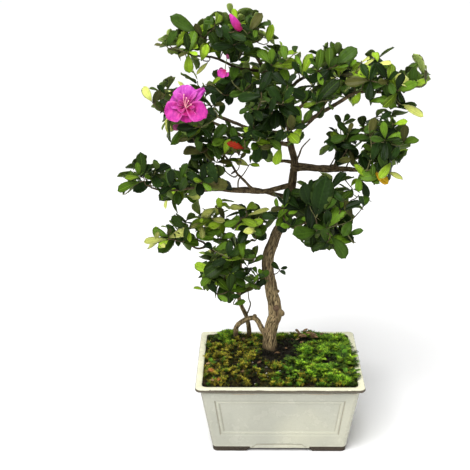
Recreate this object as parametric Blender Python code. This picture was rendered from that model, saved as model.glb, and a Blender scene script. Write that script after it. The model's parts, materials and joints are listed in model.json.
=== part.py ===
"""An azalea bonsai in its glazed rectangular pot.

+Z is up, the origin is on the table at the middle of the pot's feet, and the pot's long front faces -Y.
Sizes are in millimetres, and each mesh is turned to metres as it is made.
"""

import math
import random
from collections import namedtuple

import bmesh
import bpy
import numpy as np
from mathutils import Matrix, Vector
from mathutils.bvhtree import BVHTree

TO_METRES = 0.001
CLEAR = 0.3  # gap between neighbouring solids

# Pot: outer sizes, then the body under the lip
POT_WIDTH = 200.0
POT_DEPTH = 152.0
POT_HEIGHT = 96.0
LIP_DROP = 8.0
LIP_OVERHANG = 6.4
LIP_WIDTH = 8.5
COVE_HEIGHT = 4.0
BODY_FOOT_WIDTH = 163.0
BODY_FOOT_DEPTH = 115.0
FOOT_HEIGHT = 5.0
POT_WALL = 6.0
POT_FLOOR = 7.0
POT_CORNER = 9.0
CORNER_STEPS = 3
LIP_CHAMFER = 1.5
LIP_UNDERCUT = 1.0

# Corner feet
FOOT_LENGTH = 42.0
FOOT_SIDE_LENGTH = 32.0
FOOT_THICK = 12.0
FOOT_INSET = 3.0
FOOT_TOP_INSET = 0.6
FOOT_SINK = 3.0

# Sunk panel on each side of the pot
PANEL_LOW = 24.0
PANEL_HIGH = 75.0
PANEL_MARGIN = 14.0
PANEL_SUNK = 1.5
PANEL_BEVEL = 2.5
PANEL_CUTTER_OUT = 2.0

# Soil with its moss, mounded a little above the lip
SOIL_EDGE = 95.0
SOIL_RISE = 7.0
SOIL_RINGS = 6
SOIL_TOP_SHARE = 0.6  # width of the flat top, in rings
MOUND_POWER = 3
GROUND_PROBES = 12

# How a limb is seated on the limb that carries it
SEAT_PROBES = 12
SEAT_STEP = 0.02
ROOTED = ("second_stem", "arch_root_drop")  # stand on the soil with a level foot, as the trunk does

# Trunk centre line: height above the table, x, y and thickness
TRUNK_LINE = (
    (121, -11, 15, 16.1),
    (138, -8, 15, 16.1),
    (153, -4, 15, 16.8),
    (183, -9, 14, 15.8),
    (221, -14, 13, 14.2),
    (251, -6, 12, 13.1),
    (292, 9, 10, 10.8),
    (344, 16, 8, 8.8),
    (367, 12, 8, 7.4),
    (401, 7, 8, 6.4),
    (429, -5, 8, 5.6),
    (458, -21, 9, 4.6),
    (480, -34, 10, 3.8),
)
TRUNK_FOOT = (-10.0, 17.0)
TRUNK_FOOT_WIDTH = 17.0
FLARE = 0.34
FLARE_HEIGHT = 8.0
FLARE_LOBES = 3
TRUNK_SIDES = 10
TRUNK_STEP = 13.0

# Second stem, behind the arch
SECOND_STEM_LINE = (
    (116, -38, 57, 5.8),
    (129, -41, 56, 5.6),
    (152, -49, 52, 5.6),
    (176, -49, 46, 5.4),
    (200, -48, 40, 5.2),
    (232, -46, 33, 4.4),
)
SECOND_STEM_FOOT = (-36.5, 58.0)
SECOND_STEM_FOOT_WIDTH = 6.6

# Arched root: out of the trunk and over, then down into the soil
ARCH_KNEE = (-40.0, 34.0, 134.0)
ARCH_CROWN = (-28.0, 27.0, 139.0)
ARCH_SHOULDER = (-52.0, 42.0, 121.0)
ARCH_FOOT = (-54.0, 46.0)
ARCH_WIDTH = 6.7
ARCH_ALONG = 0.06  # share of the trunk's length at which the root leaves it
ARCH_STEP = 9.0
KNEE_LENGTH = 1.5

LIMB_SIDES = 6
LIMB_STEP = 18.0
BOUGH_KNOTS = 7
GNARL = 1.8  # how far a bough wanders off its line, sideways
GNARL_RISE = 0.9
GNARL_TURNS = 8.0
PROBE_STEP = 3.0

# Boughs: the limb each grows from, how far along it, its tip, its width at both ends and its sag
Bough = namedtuple("Bough", "parent along tip width tip_width sag")
BOUGHS = {
    "bough_left_low": Bough("trunk", 0.565, (-76, -18, 325), 6.4, 4.2, 10),
    "bough_left_fork": Bough("bough_left_low", 0.48, (-58, -4, 352), 3.4, 2.6, 3),
    "bough_right_low": Bough("trunk", 0.624, (80, -18, 346), 8.4, 5.2, 3),
    "bough_left_mid": Bough("trunk", 0.636, (-30, -8, 366), 4.2, 3.2, 4),
    "bough_right_mid": Bough("trunk", 0.742, (73, -15, 429), 5.6, 4.0, 3),
    "bough_right_top": Bough("trunk", 0.845, (19, -2, 444), 4.6, 3.8, 1),
    "bough_flower": Bough("trunk", 0.722, (-78, -32, 415), 4.8, 3.4, 5),
    "bough_top_left": Bough("trunk", 0.915, (-70, 0, 468), 3.6, 2.8, 3),
    "bough_back_top": Bough("trunk", 0.800, (-12, 34, 424), 4.8, 3.6, 2),
    "bough_back_left": Bough("trunk", 0.690, (-84, 46, 388), 5.0, 3.4, 6),
    "bough_back_right": Bough("trunk", 0.765, (36, 36, 424), 4.8, 3.6, 3),
    "bough_back_mid_right": Bough("bough_right_low", 0.42, (98, 30, 351), 4.6, 3.4, 4),
    "bough_back_low_right": Bough("trunk", 0.440, (26, 36, 262), 5.4, 4.0, 3),
    "bough_back_low_left": Bough("trunk", 0.530, (-82, 42, 303), 5.4, 3.8, 6),
    "bough_stem_left": Bough("second_stem", 0.84, (-92, 20, 244), 3.6, 2.8, 4),
    "bough_stem_low": Bough("second_stem", 0.48, (-60, 22, 183), 3.4, 2.8, 0),
    "bough_stem_back": Bough("second_stem", 0.62, (-60, 64, 188), 3.4, 2.8, 1),
}

# Foliage masses: the limb each grows from and how far along it, the middle and half sizes of its space,
# its count of shoots and the length of its leaves
Mass = namedtuple("Mass", "limb along centre radii shoots leaf")
MASSES = {
    "foliage_apex": Mass("trunk", 1, (-52, 4, 497), (49, 38, 34), 8, 30),
    "foliage_top_left": Mass("bough_top_left", 1, (-105, -6, 484), (37, 34, 31), 5, 29),
    "foliage_top_inner": Mass("trunk", 0.9, (-4, -14, 468), (26, 28, 22), 3, 29),
    "foliage_left_top_inner": Mass("trunk", 0.87, (-54, -14, 441), (36, 30, 20), 4, 28),
    "foliage_flower": Mass("bough_flower", 1, (-109, -42, 421), (46, 38, 44), 7, 30),
    "foliage_left_upper": Mass("bough_left_fork", 1, (-76, -16, 378), (42, 34, 26), 5, 30),
    "foliage_left_mid": Mass("bough_left_mid", 1, (-26, -28, 383), (36, 28, 25), 4, 29),
    "foliage_centre_front": Mass("trunk", 0.77, (-8, -46, 424), (42, 38, 47), 8, 31),
    "foliage_right_top_inner": Mass("bough_right_top", 1, (52, -14, 465), (45, 34, 30), 6, 31),
    "foliage_right_inner": Mass("trunk", 0.705, (46, -26, 427), (32, 30, 25), 4, 30),
    "foliage_right_top": Mass("bough_right_mid", 1, (129, -24, 447), (64, 42, 33), 8, 31),
    "foliage_right_mid_inner": Mass("bough_right_low", 0.68, (67, -18, 380), (26, 28, 32), 4, 27),
    "foliage_right_mid": Mass("bough_right_low", 1, (113, -34, 374), (39, 38, 45), 7, 30),
    "foliage_low_right": Mass("trunk", 0.482, (54, -42, 297), (47, 38, 54), 8, 37),
    "foliage_low_front": Mass("trunk", 0.535, (3, -30, 302), (27, 26, 31), 3, 32),
    "foliage_left_outer": Mass("bough_left_low", 1, (-145, -40, 342), (40, 36, 38), 6, 28),
    "foliage_left_inner": Mass("bough_left_low", 0.86, (-89, -28, 343), (38, 30, 27), 4, 30),
    "foliage_stem_left": Mass("bough_stem_left", 1, (-124, 12, 258), (40, 34, 25), 5, 29),
    "foliage_stem_top": Mass("second_stem", 1, (-80, 28, 269), (36, 32, 27), 4, 29),
    "foliage_stem_right": Mass("second_stem", 0.93, (-37, 8, 272), (30, 28, 28), 4, 27),
    "foliage_stem_mid": Mass("second_stem", 0.8, (-55, 10, 236), (35, 28, 22), 4, 29),
    "foliage_stem_low": Mass("bough_stem_low", 1, (-67, 16, 199), (40, 32, 38), 6, 33),
    "foliage_trunk_low": Mass("trunk", 0.27, (-27, -6, 206), (17, 18, 16), 2, 19),
    "foliage_back_top": Mass("bough_back_top", 1, (-22, 60, 432), (56, 37, 42), 6, 31),
    "foliage_back_left": Mass("bough_back_left", 1, (-122, 58, 396), (48, 38, 40), 5, 31),
    "foliage_back_right": Mass("bough_back_right", 1, (68, 58, 432), (54, 38, 33), 5, 31),
    "foliage_back_mid_right": Mass("bough_back_mid_right", 1, (124, 50, 362), (40, 38, 38), 5, 30),
    "foliage_back_low_right": Mass("bough_back_low_right", 1, (54, 58, 266), (50, 38, 42), 6, 32),
    "foliage_back_low_left": Mass("bough_back_low_left", 1, (-122, 56, 306), (50, 40, 34), 5, 31),
    "foliage_stem_back": Mass("bough_stem_back", 1, (-76, 70, 196), (34, 28, 30), 4, 30),
}

# Leaves and twigs
LEAF_TIERS = 2
TIER_STEP = 2.2
LEAF_SPREAD = 74.0  # degrees between a leaf and its twig in the lowest tier
TIER_LIFT = 22.0
LEAF_STRAY = 12.0
LEAF_SIZES = (0.85, 1.15)
LEAF_SHRINKS = (1, 0.85, 0.7, 0.55)  # tried in turn where a leaf has too little room
LEAF_WIDEST = 0.62  # share of the length at which a leaf is widest
LEAF_WIDTH = 0.6  # of its length
LEAF_THICK = 0.7
LEAF_ROOT = 1.2
LEAF_FOLD = 0.07
LEAF_DROOP = 0.12
SHOOT_REACH = 0.72  # share of a leaf between a shoot's tip and the edge of the space
HIGHEST_SHOOT = 1.0  # 1 is straight up from the middle of the space and -1 straight down
LOWEST_SHOOT = -0.85
SHOOT_RISE = 0.5
LEAST_REACH = 0.3
TURN_STRAY = 0.3
TWIG_WIDTH = 3.4
STEM_TIP_WIDTH = 2.4
SHOOT_WIDTH = 2.2
COLLAR = 1.6  # straight length at the start of a stem or bough, square to its seat
STEM_STEP = 16.0
STEM_TAPER = 0.95
STEM_LIFT = 0.3
HUB_DROP = 0.25  # how far the stem's tip lies below the middle of the space
LIMB_MARGIN = 1.6  # least gap between a leaf and a limb
SPACE_MARGIN = 0.045  # how far the spaces of two masses keep apart, as a share of their size
SHORT_TWIG = 30.0
BEND_REACH = 0.35
BRANCH_SHARES = (0.35, 0.8)
TWIG_TURN = 0.6  # how far a twig turns from its parent's direction towards its own tip
TWIG_SAMPLES = (0.3, 0.65, 1.0)
TURN_BACK_COST = 0.35
FLAT_ANGLE = 2.0  # faces that meet at less than this many degrees are one face
GOLDEN_TURN = math.pi * (3 - math.sqrt(5))

# Petals
BLOOM_HEART = 3.4
PETAL_RISE = 0.35
PETAL_WIDTH = 0.95

# Blossom: the mass it grows in, its middle, the way it faces, its width and its petals
Bloom = namedtuple("Bloom", "mass centre facing width petals")
BLOOMS = (
    Bloom("foliage_flower", (-101, -74, 434), (-0.1, -0.95, 0.3), 44, 6),
    Bloom("foliage_apex", (-49, -26, 512), (0.1, -0.5, 0.9), 22, 3),
    Bloom("foliage_left_top_inner", (-64, -28, 447), (-0.4, -0.8, 0.3), 22, 3),
)

LEAF_GREEN = (0.035, 0.115, 0.018)
BARK_BROWN = (0.15, 0.105, 0.07)
GLAZE = (0.60, 0.62, 0.50)
MOSS_GREEN = (0.10, 0.16, 0.02)


def principled(name, colour, roughness, metallic=0.0):
    """A material with one Principled BSDF."""
    material = bpy.data.materials.new(name)
    material.use_nodes = True
    shader = material.node_tree.nodes["Principled BSDF"]
    shader.inputs["Base Color"].default_value = (*colour, 1.0)
    shader.inputs["Roughness"].default_value = roughness
    shader.inputs["Metallic"].default_value = metallic
    return material


def add_object(name, points, faces, material):
    """An object in the scene from points in millimetres."""
    mesh = bpy.data.meshes.new(name)
    mesh.from_pydata([point * TO_METRES for point in points], [], faces)
    mesh.materials.append(material)
    made = bpy.data.objects.new(name, mesh)
    bpy.context.scene.collection.objects.link(made)
    return made


def loft(rings):
    """Points and triangles of a closed body through rings of as many points each."""
    sides = len(rings[0])
    points = [point for ring in rings for point in ring]
    faces = []
    for level in range(len(rings) - 1):
        for side in range(sides):
            after = (side + 1) % sides
            low, high = level * sides, (level + 1) * sides
            faces.append((low + side, low + after, high + after))
            faces.append((low + side, high + after, high + side))
    for side in range(1, sides - 1):
        faces.append((0, side + 1, side))
        last = (len(rings) - 1) * sides
        faces.append((last, last + side, last + side + 1))
    return points, faces


def smooth_line(knots, step):
    """Evenly spaced places on a smooth curve through knots, each a vector of place and thickness."""
    knots = [np.array(knot, float) for knot in knots]
    knots = [2 * knots[0] - knots[1], *knots, 2 * knots[-1] - knots[-2]]
    fine = []
    for before, start, end, after in zip(knots, knots[1:], knots[2:], knots[3:]):
        for t in np.linspace(0, 1, 12, endpoint=False):
            fine.append(
                0.5
                * (
                    2 * start
                    + (end - before) * t
                    + (2 * before - 5 * start + 4 * end - after) * t**2
                    + (3 * start - before - 3 * end + after) * t**3
                )
            )
    fine.append(knots[-2])
    fine = np.array(fine)
    run = np.concatenate([[0], np.cumsum(np.linalg.norm(np.diff(fine[:, :3], axis=0), axis=1))])
    count = max(2, round(run[-1] / step))
    at = np.linspace(0, run[-1], count + 1)
    return np.stack([np.interp(at, run, fine[:, k]) for k in range(fine.shape[1])], axis=1)


def close_rows(line):
    """The places and thicknesses of a line again, at most PROBE_STEP apart."""
    rows = [line[0]]
    for low, high in zip(line, line[1:]):
        count = math.ceil(np.linalg.norm(high[:3] - low[:3]) / PROBE_STEP)
        rows += [low + (high - low) * k / count for k in range(1, count + 1)]
    return np.array(rows)


def tube(line, sides, level_foot=False, swell=None):
    """A tapering body round a line of places and thicknesses, with flat ends square to it."""
    places = [Vector(row[:3]) for row in line]
    rings = []
    across = None
    for k, place in enumerate(places):
        ahead = (places[min(k + 1, len(places) - 1)] - places[max(k - 1, 0)]).normalized()
        if k == 0 and level_foot:
            ahead = Vector((0, 0, 1))
        if across is None:
            across = ahead.orthogonal().normalized()
        across = (across - ahead * across.dot(ahead)).normalized()
        other = ahead.cross(across)
        ring = []
        for side in range(sides):
            turn = 2 * math.pi * side / sides
            radius = line[k][3] / 2 * (swell(place, turn) if swell else 1.0)
            ring.append(place + (across * math.cos(turn) + other * math.sin(turn)) * radius)
        rings.append(ring)
    return loft(rings)


def joined(name, pieces, material):
    """One object fused from pieces of points and faces by a single Boolean union."""
    others = bpy.data.collections.new(name + "_pieces")
    bpy.context.scene.collection.children.link(others)
    body = add_object(name, *pieces[0], material)
    for number, piece in enumerate(pieces[1:]):
        extra = add_object(f"{name}_{number}", *piece, material)
        bpy.context.scene.collection.objects.unlink(extra)
        others.objects.link(extra)
    union = body.modifiers.new("Union", "BOOLEAN")
    union.operation = "UNION"
    union.solver = "MANIFOLD"
    union.operand_type = "COLLECTION"
    union.collection = others
    apply_modifiers(body)
    for extra in list(others.objects):
        bpy.data.objects.remove(extra)
    bpy.data.collections.remove(others)
    keep_outer_body(body.data)
    return body


def apply_modifiers(body):
    """The object's evaluated mesh made its own."""
    depsgraph = bpy.context.evaluated_depsgraph_get()
    mesh = bpy.data.meshes.new_from_object(body.evaluated_get(depsgraph))
    body.modifiers.clear()
    body.data = mesh


def keep_outer_body(mesh):
    """Loose scraps and the skins of sealed hollows removed, so that one solid body is left."""
    shape = bmesh.new()
    shape.from_mesh(mesh)
    bmesh.ops.triangulate(shape, faces=shape.faces)
    left = set(shape.faces)
    groups = []
    while left:
        seed = left.pop()
        group, edge_of_group = {seed}, [seed]
        while edge_of_group:
            face = edge_of_group.pop()
            for edge in face.edges:
                for beside in edge.link_faces:
                    if beside in left:
                        left.remove(beside)
                        group.add(beside)
                        edge_of_group.append(beside)
        groups.append(group)
    largest = max(groups, key=len)
    spare = [face for group in groups if group is not largest for face in group]
    bmesh.ops.delete(shape, geom=spare, context="FACES")
    bmesh.ops.dissolve_limit(
        shape, angle_limit=math.radians(FLAT_ANGLE), verts=shape.verts, edges=shape.edges
    )
    bmesh.ops.triangulate(shape, faces=shape.faces)
    shape.to_mesh(mesh)
    shape.free()


def rounded_ring(half_x, half_y, corner, height):
    """Points round a rectangle with rounded corners, anticlockwise from above."""
    ring = []
    for quarter, (side_x, side_y) in enumerate(((1, 1), (-1, 1), (-1, -1), (1, -1))):
        middle_x = side_x * (half_x - corner)
        middle_y = side_y * (half_y - corner)
        for step in range(CORNER_STEPS + 1):
            turn = math.pi / 2 * (quarter + step / CORNER_STEPS)
            ring.append(
                Vector((middle_x + corner * math.cos(turn), middle_y + corner * math.sin(turn), height))
            )
    return ring


def lip_ring(inset, height):
    """Points round the lip's outer edge, or a little inside it."""
    return rounded_ring(POT_WIDTH / 2 - inset, POT_DEPTH / 2 - inset, POT_CORNER, height)


def body_half_sizes(height):
    """Half width and half depth of the pot's tapering body at a height."""
    top = POT_HEIGHT - LIP_DROP - COVE_HEIGHT
    share = (height - FOOT_HEIGHT) / (top - FOOT_HEIGHT)
    half_x = BODY_FOOT_WIDTH / 2 + (POT_WIDTH / 2 - LIP_OVERHANG - BODY_FOOT_WIDTH / 2) * share
    half_y = BODY_FOOT_DEPTH / 2 + (POT_DEPTH / 2 - LIP_OVERHANG - BODY_FOOT_DEPTH / 2) * share
    return half_x, half_y


def cavity_half_sizes(height):
    """Half width and half depth of the space inside the pot."""
    half_x, half_y = body_half_sizes(height)
    if height > POT_HEIGHT - LIP_DROP:
        return POT_WIDTH / 2 - LIP_WIDTH, POT_DEPTH / 2 - LIP_WIDTH
    return half_x - POT_WALL, half_y - POT_WALL


def make_pot(material):
    """The pot: a tapering body with a lip, sunk panels on its sides and four corner feet."""
    lip_low = POT_HEIGHT - LIP_DROP
    cove_low = lip_low - COVE_HEIGHT
    floor = FOOT_HEIGHT + POT_FLOOR
    outer = [
        rounded_ring(*body_half_sizes(FOOT_HEIGHT), POT_CORNER, FOOT_HEIGHT),
        rounded_ring(*body_half_sizes(cove_low), POT_CORNER, cove_low),
        lip_ring(LIP_UNDERCUT, lip_low),
        lip_ring(0, lip_low + LIP_UNDERCUT),
        lip_ring(0, POT_HEIGHT - LIP_CHAMFER),
        lip_ring(LIP_CHAMFER, POT_HEIGHT),
    ]
    inner = [
        rounded_ring(*cavity_half_sizes(POT_HEIGHT), POT_CORNER, POT_HEIGHT),
        rounded_ring(*cavity_half_sizes(POT_HEIGHT), POT_CORNER, lip_low),
        rounded_ring(*cavity_half_sizes(cove_low), POT_CORNER, cove_low),
        rounded_ring(*cavity_half_sizes(floor), POT_CORNER, floor),
    ]
    pot = add_object("pot", *loft(outer + inner), material)

    feet = bpy.data.collections.new("feet")
    bpy.context.scene.collection.children.link(feet)
    for side_x in (-1, 1):
        for side_y in (-1, 1):
            foot = add_object("foot", *foot_solid(side_x, side_y), material)
            bpy.context.scene.collection.objects.unlink(foot)
            feet.objects.link(foot)
    fuse = pot.modifiers.new("Feet", "BOOLEAN")
    fuse.operation = "UNION"
    fuse.operand_type = "COLLECTION"
    fuse.collection = feet

    panels = bpy.data.collections.new("panels")
    bpy.context.scene.collection.children.link(panels)
    for turn in range(4):
        panel = add_object("panel", *panel_cutter(turn), material)
        bpy.context.scene.collection.objects.unlink(panel)
        panels.objects.link(panel)
    cut = pot.modifiers.new("Panels", "BOOLEAN")
    cut.operation = "DIFFERENCE"
    cut.operand_type = "COLLECTION"
    cut.collection = panels

    apply_modifiers(pot)
    for group in (feet, panels):
        for piece in list(group.objects):
            bpy.data.objects.remove(piece)
        bpy.data.collections.remove(group)
    return pot


def foot_solid(side_x, side_y):
    """One L-shaped corner foot, narrower at the table."""
    rings = []
    for height, inset in ((0.0, FOOT_INSET), (FOOT_HEIGHT + FOOT_SINK, FOOT_TOP_INSET)):
        half_x, half_y = body_half_sizes(FOOT_HEIGHT)
        half_x, half_y = half_x - inset, half_y - inset
        end_x = half_x - FOOT_LENGTH + 2 * inset
        end_y = half_y - FOOT_SIDE_LENGTH + 2 * inset
        corner = [
            (
                half_x - POT_CORNER * (1 - math.cos(turn)),
                half_y - POT_CORNER * (1 - math.sin(turn)),
            )
            for turn in (math.pi / 2 * step / CORNER_STEPS for step in range(CORNER_STEPS + 1))
        ]
        outline = [
            (half_x - FOOT_THICK, end_y),
            (half_x, end_y),
            *corner,
            (end_x, half_y),
            (end_x, half_y - FOOT_THICK),
            (half_x - FOOT_THICK, half_y - FOOT_THICK),
        ]
        rings.append([Vector((side_x * x, side_y * y, height)) for x, y in outline])
    if side_x * side_y < 0:
        rings = [list(reversed(ring)) for ring in rings]
    return prism(rings)


def prism(rings):
    """Points and faces of a body between two flat outlines, which may have hollow corners."""
    count = len(rings[0])
    faces = [
        (side, (side + 1) % count, count + (side + 1) % count, count + side) for side in range(count)
    ]
    faces.append(tuple(reversed(range(count))))
    faces.append(tuple(range(count, 2 * count)))
    return rings[0] + rings[1], faces


def panel_cutter(turn):
    """A shallow block with sloped sides that sinks the panel of one side of the pot."""
    long_side = turn % 2 == 0
    rings = []
    for outward, spread in ((-PANEL_SUNK, 0.0), (PANEL_CUTTER_OUT, 2 * PANEL_BEVEL)):
        ring = []
        for height, side in (
            (PANEL_LOW - spread, -1),
            (PANEL_LOW - spread, 1),
            (PANEL_HIGH + spread, 1),
            (PANEL_HIGH + spread, -1),
        ):
            half_x, half_y = body_half_sizes(height)
            along, face = (half_x, half_y) if long_side else (half_y, half_x)
            ring.append(Vector((side * (along - PANEL_MARGIN + spread), -(face + outward), height)))
        rings.append(ring)
    points, faces = prism(rings)
    return [Matrix.Rotation(math.pi / 2 * turn, 3, "Z") @ point for point in points], faces


def soil_height(x, y):
    """Height of the moss-covered soil above the table."""
    half_x, half_y = cavity_half_sizes(POT_HEIGHT)
    out = min(1.0, max(abs(x) / half_x, abs(y) / half_y))
    return SOIL_EDGE + SOIL_RISE * (1 - out**MOUND_POWER)


def make_soil(material):
    """The soil: a block that fills the pot and mounds up in the middle."""
    floor = FOOT_HEIGHT + POT_FLOOR + CLEAR
    rings = []
    cove_low = POT_HEIGHT - LIP_DROP - COVE_HEIGHT
    for height in (floor, cove_low, POT_HEIGHT - LIP_DROP + CLEAR, SOIL_EDGE):
        half_x, half_y = cavity_half_sizes(height)
        rings.append(rounded_ring(half_x - CLEAR, half_y - CLEAR, POT_CORNER, height))
    half_x, half_y = cavity_half_sizes(POT_HEIGHT)
    for step in range(1, SOIL_RINGS + 1):
        share = 1 - step / (SOIL_RINGS + SOIL_TOP_SHARE)
        ring = rounded_ring(
            (half_x - CLEAR) * share, (half_y - CLEAR) * share, POT_CORNER * share, SOIL_EDGE
        )
        rings.append([Vector((p.x, p.y, soil_height(p.x, p.y))) for p in ring])
    return add_object("soil", *loft(rings), material)


def limb_place(limb, along):
    """Place, direction and thickness at a share of a limb's length."""
    at = along * (len(limb) - 1)
    low = min(int(at), len(limb) - 2)
    row = limb[low] + (limb[low + 1] - limb[low]) * (at - low)
    ahead = Vector(limb[low + 1][:3] - limb[low][:3]).normalized()
    return Vector(row[:3]), ahead, float(row[3])


def limb_solid(name, limb):
    """Points and faces of the trunk, a stem, a root or a bough."""
    if name == "trunk":
        return tube(limb, TRUNK_SIDES, True, flare)
    return tube(limb, LIMB_SIDES, name in ROOTED)


def seat(carrier, limbs, along, towards, width):
    """Where a limb of this width starts, just clear of the side of the limb that carries it."""
    place, _, carrier_width = limb_place(limbs[carrier], along)
    way = (towards - place).normalized()
    skin = BVHTree.FromPolygons(*limb_solid(carrier, limbs[carrier]))
    across = way.orthogonal().normalized()
    other = way.cross(across)
    end_face = [Vector()]
    for step in range(SEAT_PROBES):
        turn = 2 * math.pi * step / SEAT_PROBES
        rim = (across * math.cos(turn) + other * math.sin(turn)) * width / 2
        end_face += [rim / 2, rim]
    start = place + way * carrier_width / 4
    while not all(outside(skin, start + probe) for probe in end_face):
        start += way * SEAT_STEP
    return start, way


def outside(skin, probe):
    """True where a place is outside a solid and clear of it."""
    nearest, normal, _, gap = skin.find_nearest(probe)
    return gap >= CLEAR and (probe - nearest).dot(normal) > 0


def ground_under(foot, width):
    """Height just clear of the soil all round a limb's foot."""
    heights = []
    for step in range(GROUND_PROBES):
        turn = 2 * math.pi * step / GROUND_PROBES
        edge_x = foot[0] + width / 2 * math.cos(turn)
        edge_y = foot[1] + width / 2 * math.sin(turn)
        heights.append(soil_height(edge_x, edge_y))
    return max(heights) + CLEAR


def upright_limb(foot, foot_width, rows, step):
    """A limb that stands on the soil and runs through rows of height, x, y and thickness."""
    ground = ground_under(foot, foot_width)
    knots = [(*foot, ground, foot_width)] + [(x, y, height, width) for height, x, y, width in rows]
    return smooth_line(knots, step)


def bough_limb(name, bough, limbs):
    """A bough from the side of its parent to its tip, sagging and wandering a little."""
    tip = Vector(bough.tip)
    start, way = seat(bough.parent, limbs, bough.along, tip, bough.width)
    draws = random.Random(name)
    phase = draws.uniform(0, 2 * math.pi)
    side = (tip - start).cross(Vector((0, 0, 1))).normalized()
    collar = start + way * COLLAR
    knots = []
    for step in range(BOUGH_KNOTS):
        t = step / (BOUGH_KNOTS - 1)
        away = math.sin(math.pi * t)
        place = collar.lerp(tip, t) - Vector((0, 0, bough.sag * away))
        place += side * (GNARL * away * math.sin(phase + GNARL_TURNS * t))
        place += Vector((0, 0, GNARL_RISE * away * math.cos(phase + GNARL_TURNS * t)))
        knots.append((*place, bough.width + (bough.tip_width - bough.width) * t))
    return np.vstack([(*start, bough.width), smooth_line(knots, LIMB_STEP)])


def flare(place, turn):
    """How much wider the trunk is at its rooted foot."""
    above = place.z - soil_height(*TRUNK_FOOT)
    lobes = 0.6 + 0.4 * math.cos(FLARE_LOBES * turn)
    return 1 + FLARE * math.exp(-above / FLARE_HEIGHT) * lobes


def arch_root(limbs):
    """The two parts of the arched root: from the trunk to its knee, and from the soil up to the knee."""
    crown, knee, shoulder = Vector(ARCH_CROWN), Vector(ARCH_KNEE), Vector(ARCH_SHOULDER)
    start, _ = seat("trunk", limbs, ARCH_ALONG, crown, ARCH_WIDTH)
    rise = smooth_line([(*start, ARCH_WIDTH), (*crown, ARCH_WIDTH), (*knee, ARCH_WIDTH)], ARCH_STEP)
    way = (shoulder - crown).normalized()
    split = knee + way * KNEE_LENGTH
    rise = np.vstack([rise, (*split, ARCH_WIDTH)])
    resume = split + way * KNEE_LENGTH
    foot = (*ARCH_FOOT, ground_under(ARCH_FOOT, ARCH_WIDTH))
    drop = smooth_line([(*foot, ARCH_WIDTH), (*shoulder, ARCH_WIDTH), (*resume, ARCH_WIDTH)], ARCH_STEP)
    drop = np.vstack([drop, (*(split + way * CLEAR), ARCH_WIDTH)])
    return rise, drop


class Surroundings:
    """What a leaf or twig of one mass keeps clear of: limbs, stems, other spaces and other shoots."""

    def __init__(self, own, limbs, stems):
        lines = [*limbs.values(), *(stem for name, stem in stems.items() if name != own)]
        rows = np.concatenate([close_rows(line) for line in lines])
        self.places, self.half_widths = rows[:, :3], rows[:, 3] / 2
        self.own = MASSES[own]
        self.others = [mass for name, mass in MASSES.items() if name != own]
        self.grown = []
        for line in lines:
            self.keep(tube([row + (0, 0, 0, 2 * CLEAR) for row in line], LIMB_SIDES), None)

    def keep(self, shape, shoot):
        """Remember a twig or leaf of the mass, and the shoot that it belongs to."""
        self.grown.append((BVHTree.FromPolygons(*shape), shoot))

    def crossed(self, shape, shoot):
        """True where a leaf cuts through a limb, a twig or a leaf of another shoot."""
        tree = BVHTree.FromPolygons(*shape)
        return any(tree.overlap(other) for other, owner in self.grown if owner != shoot)

    def free(self, samples):
        """True where every sample lies in the own space and clear of limbs and other spaces."""
        samples = np.array([tuple(sample) for sample in samples])
        own = np.linalg.norm((samples - self.own.centre) / self.own.radii, axis=1)
        if own.max() > 1:
            return False
        for mass in self.others:
            share = np.linalg.norm((samples - mass.centre) / mass.radii, axis=1)
            if (share < own + SPACE_MARGIN).any():
                return False
        gaps = np.linalg.norm(samples[:, None] - self.places[None], axis=2) - self.half_widths
        return gaps.min() > LIMB_MARGIN


def leaf_outline(root, way, up, length, width):
    """Left, right, tip and midrib places of a folded leaf that springs from a root."""
    side = up.cross(way).normalized()
    up = way.cross(side).normalized()
    droop = LEAF_DROOP * length
    keel = -droop * LEAF_WIDEST
    middle = root + way * LEAF_WIDEST * length
    edge = middle + up * (keel + LEAF_THICK + LEAF_FOLD * length)
    return (
        edge - side * width / 2,
        edge + side * width / 2,
        root + way * length - up * droop,
        middle + up * (keel + LEAF_THICK),
    )


def leaf_samples(root, outline):
    """Places over a leaf that stand for all of it."""
    left, right, tip, middle = outline
    return [
        root.lerp(middle, 0.35),
        root.lerp(middle, 0.7),
        middle,
        middle.lerp(tip, 0.5),
        tip,
        left,
        right,
        root.lerp(left, 0.6),
        root.lerp(right, 0.6),
        left.lerp(tip, 0.5),
        right.lerp(tip, 0.5),
    ]


def bent_line(start, way, end, arrive, width, end_width, steps):
    """A smoothly bending twig from one place and direction to another."""
    reach = (end - start).length
    first = start + way * reach * BEND_REACH
    second = end - arrive * reach * BEND_REACH
    line = []
    for step in range(steps + 1):
        t = step / steps
        s = 1 - t
        place = start * s**3 + first * 3 * s * s * t + second * 3 * s * t * t + end * t**3
        line.append(np.array((*place, width + (end_width - width) * t)))
    return line


def mass_stem(mass, limbs):
    """The stem of a mass, from its limb into the middle of its space."""
    centre = Vector(mass.centre)
    hub = centre - Vector((0, 0, HUB_DROP * mass.radii[2]))
    if mass.along == 1:
        place, way, limb_width = limb_place(limbs[mass.limb], 1)
        start, width = place + way * CLEAR, limb_width * STEM_TAPER
    else:
        start, way = seat(mass.limb, limbs, mass.along, centre, TWIG_WIDTH)
        width = TWIG_WIDTH
    collar = start + way * COLLAR
    arrive = (hub - collar).normalized().lerp(Vector((0, 0, 1)), STEM_LIFT).normalized()
    steps = max(2, round((hub - collar).length / STEM_STEP))
    return [np.array((*start, width))] + bent_line(collar, way, hub, arrive, width, STEM_TIP_WIDTH, steps)


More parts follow.
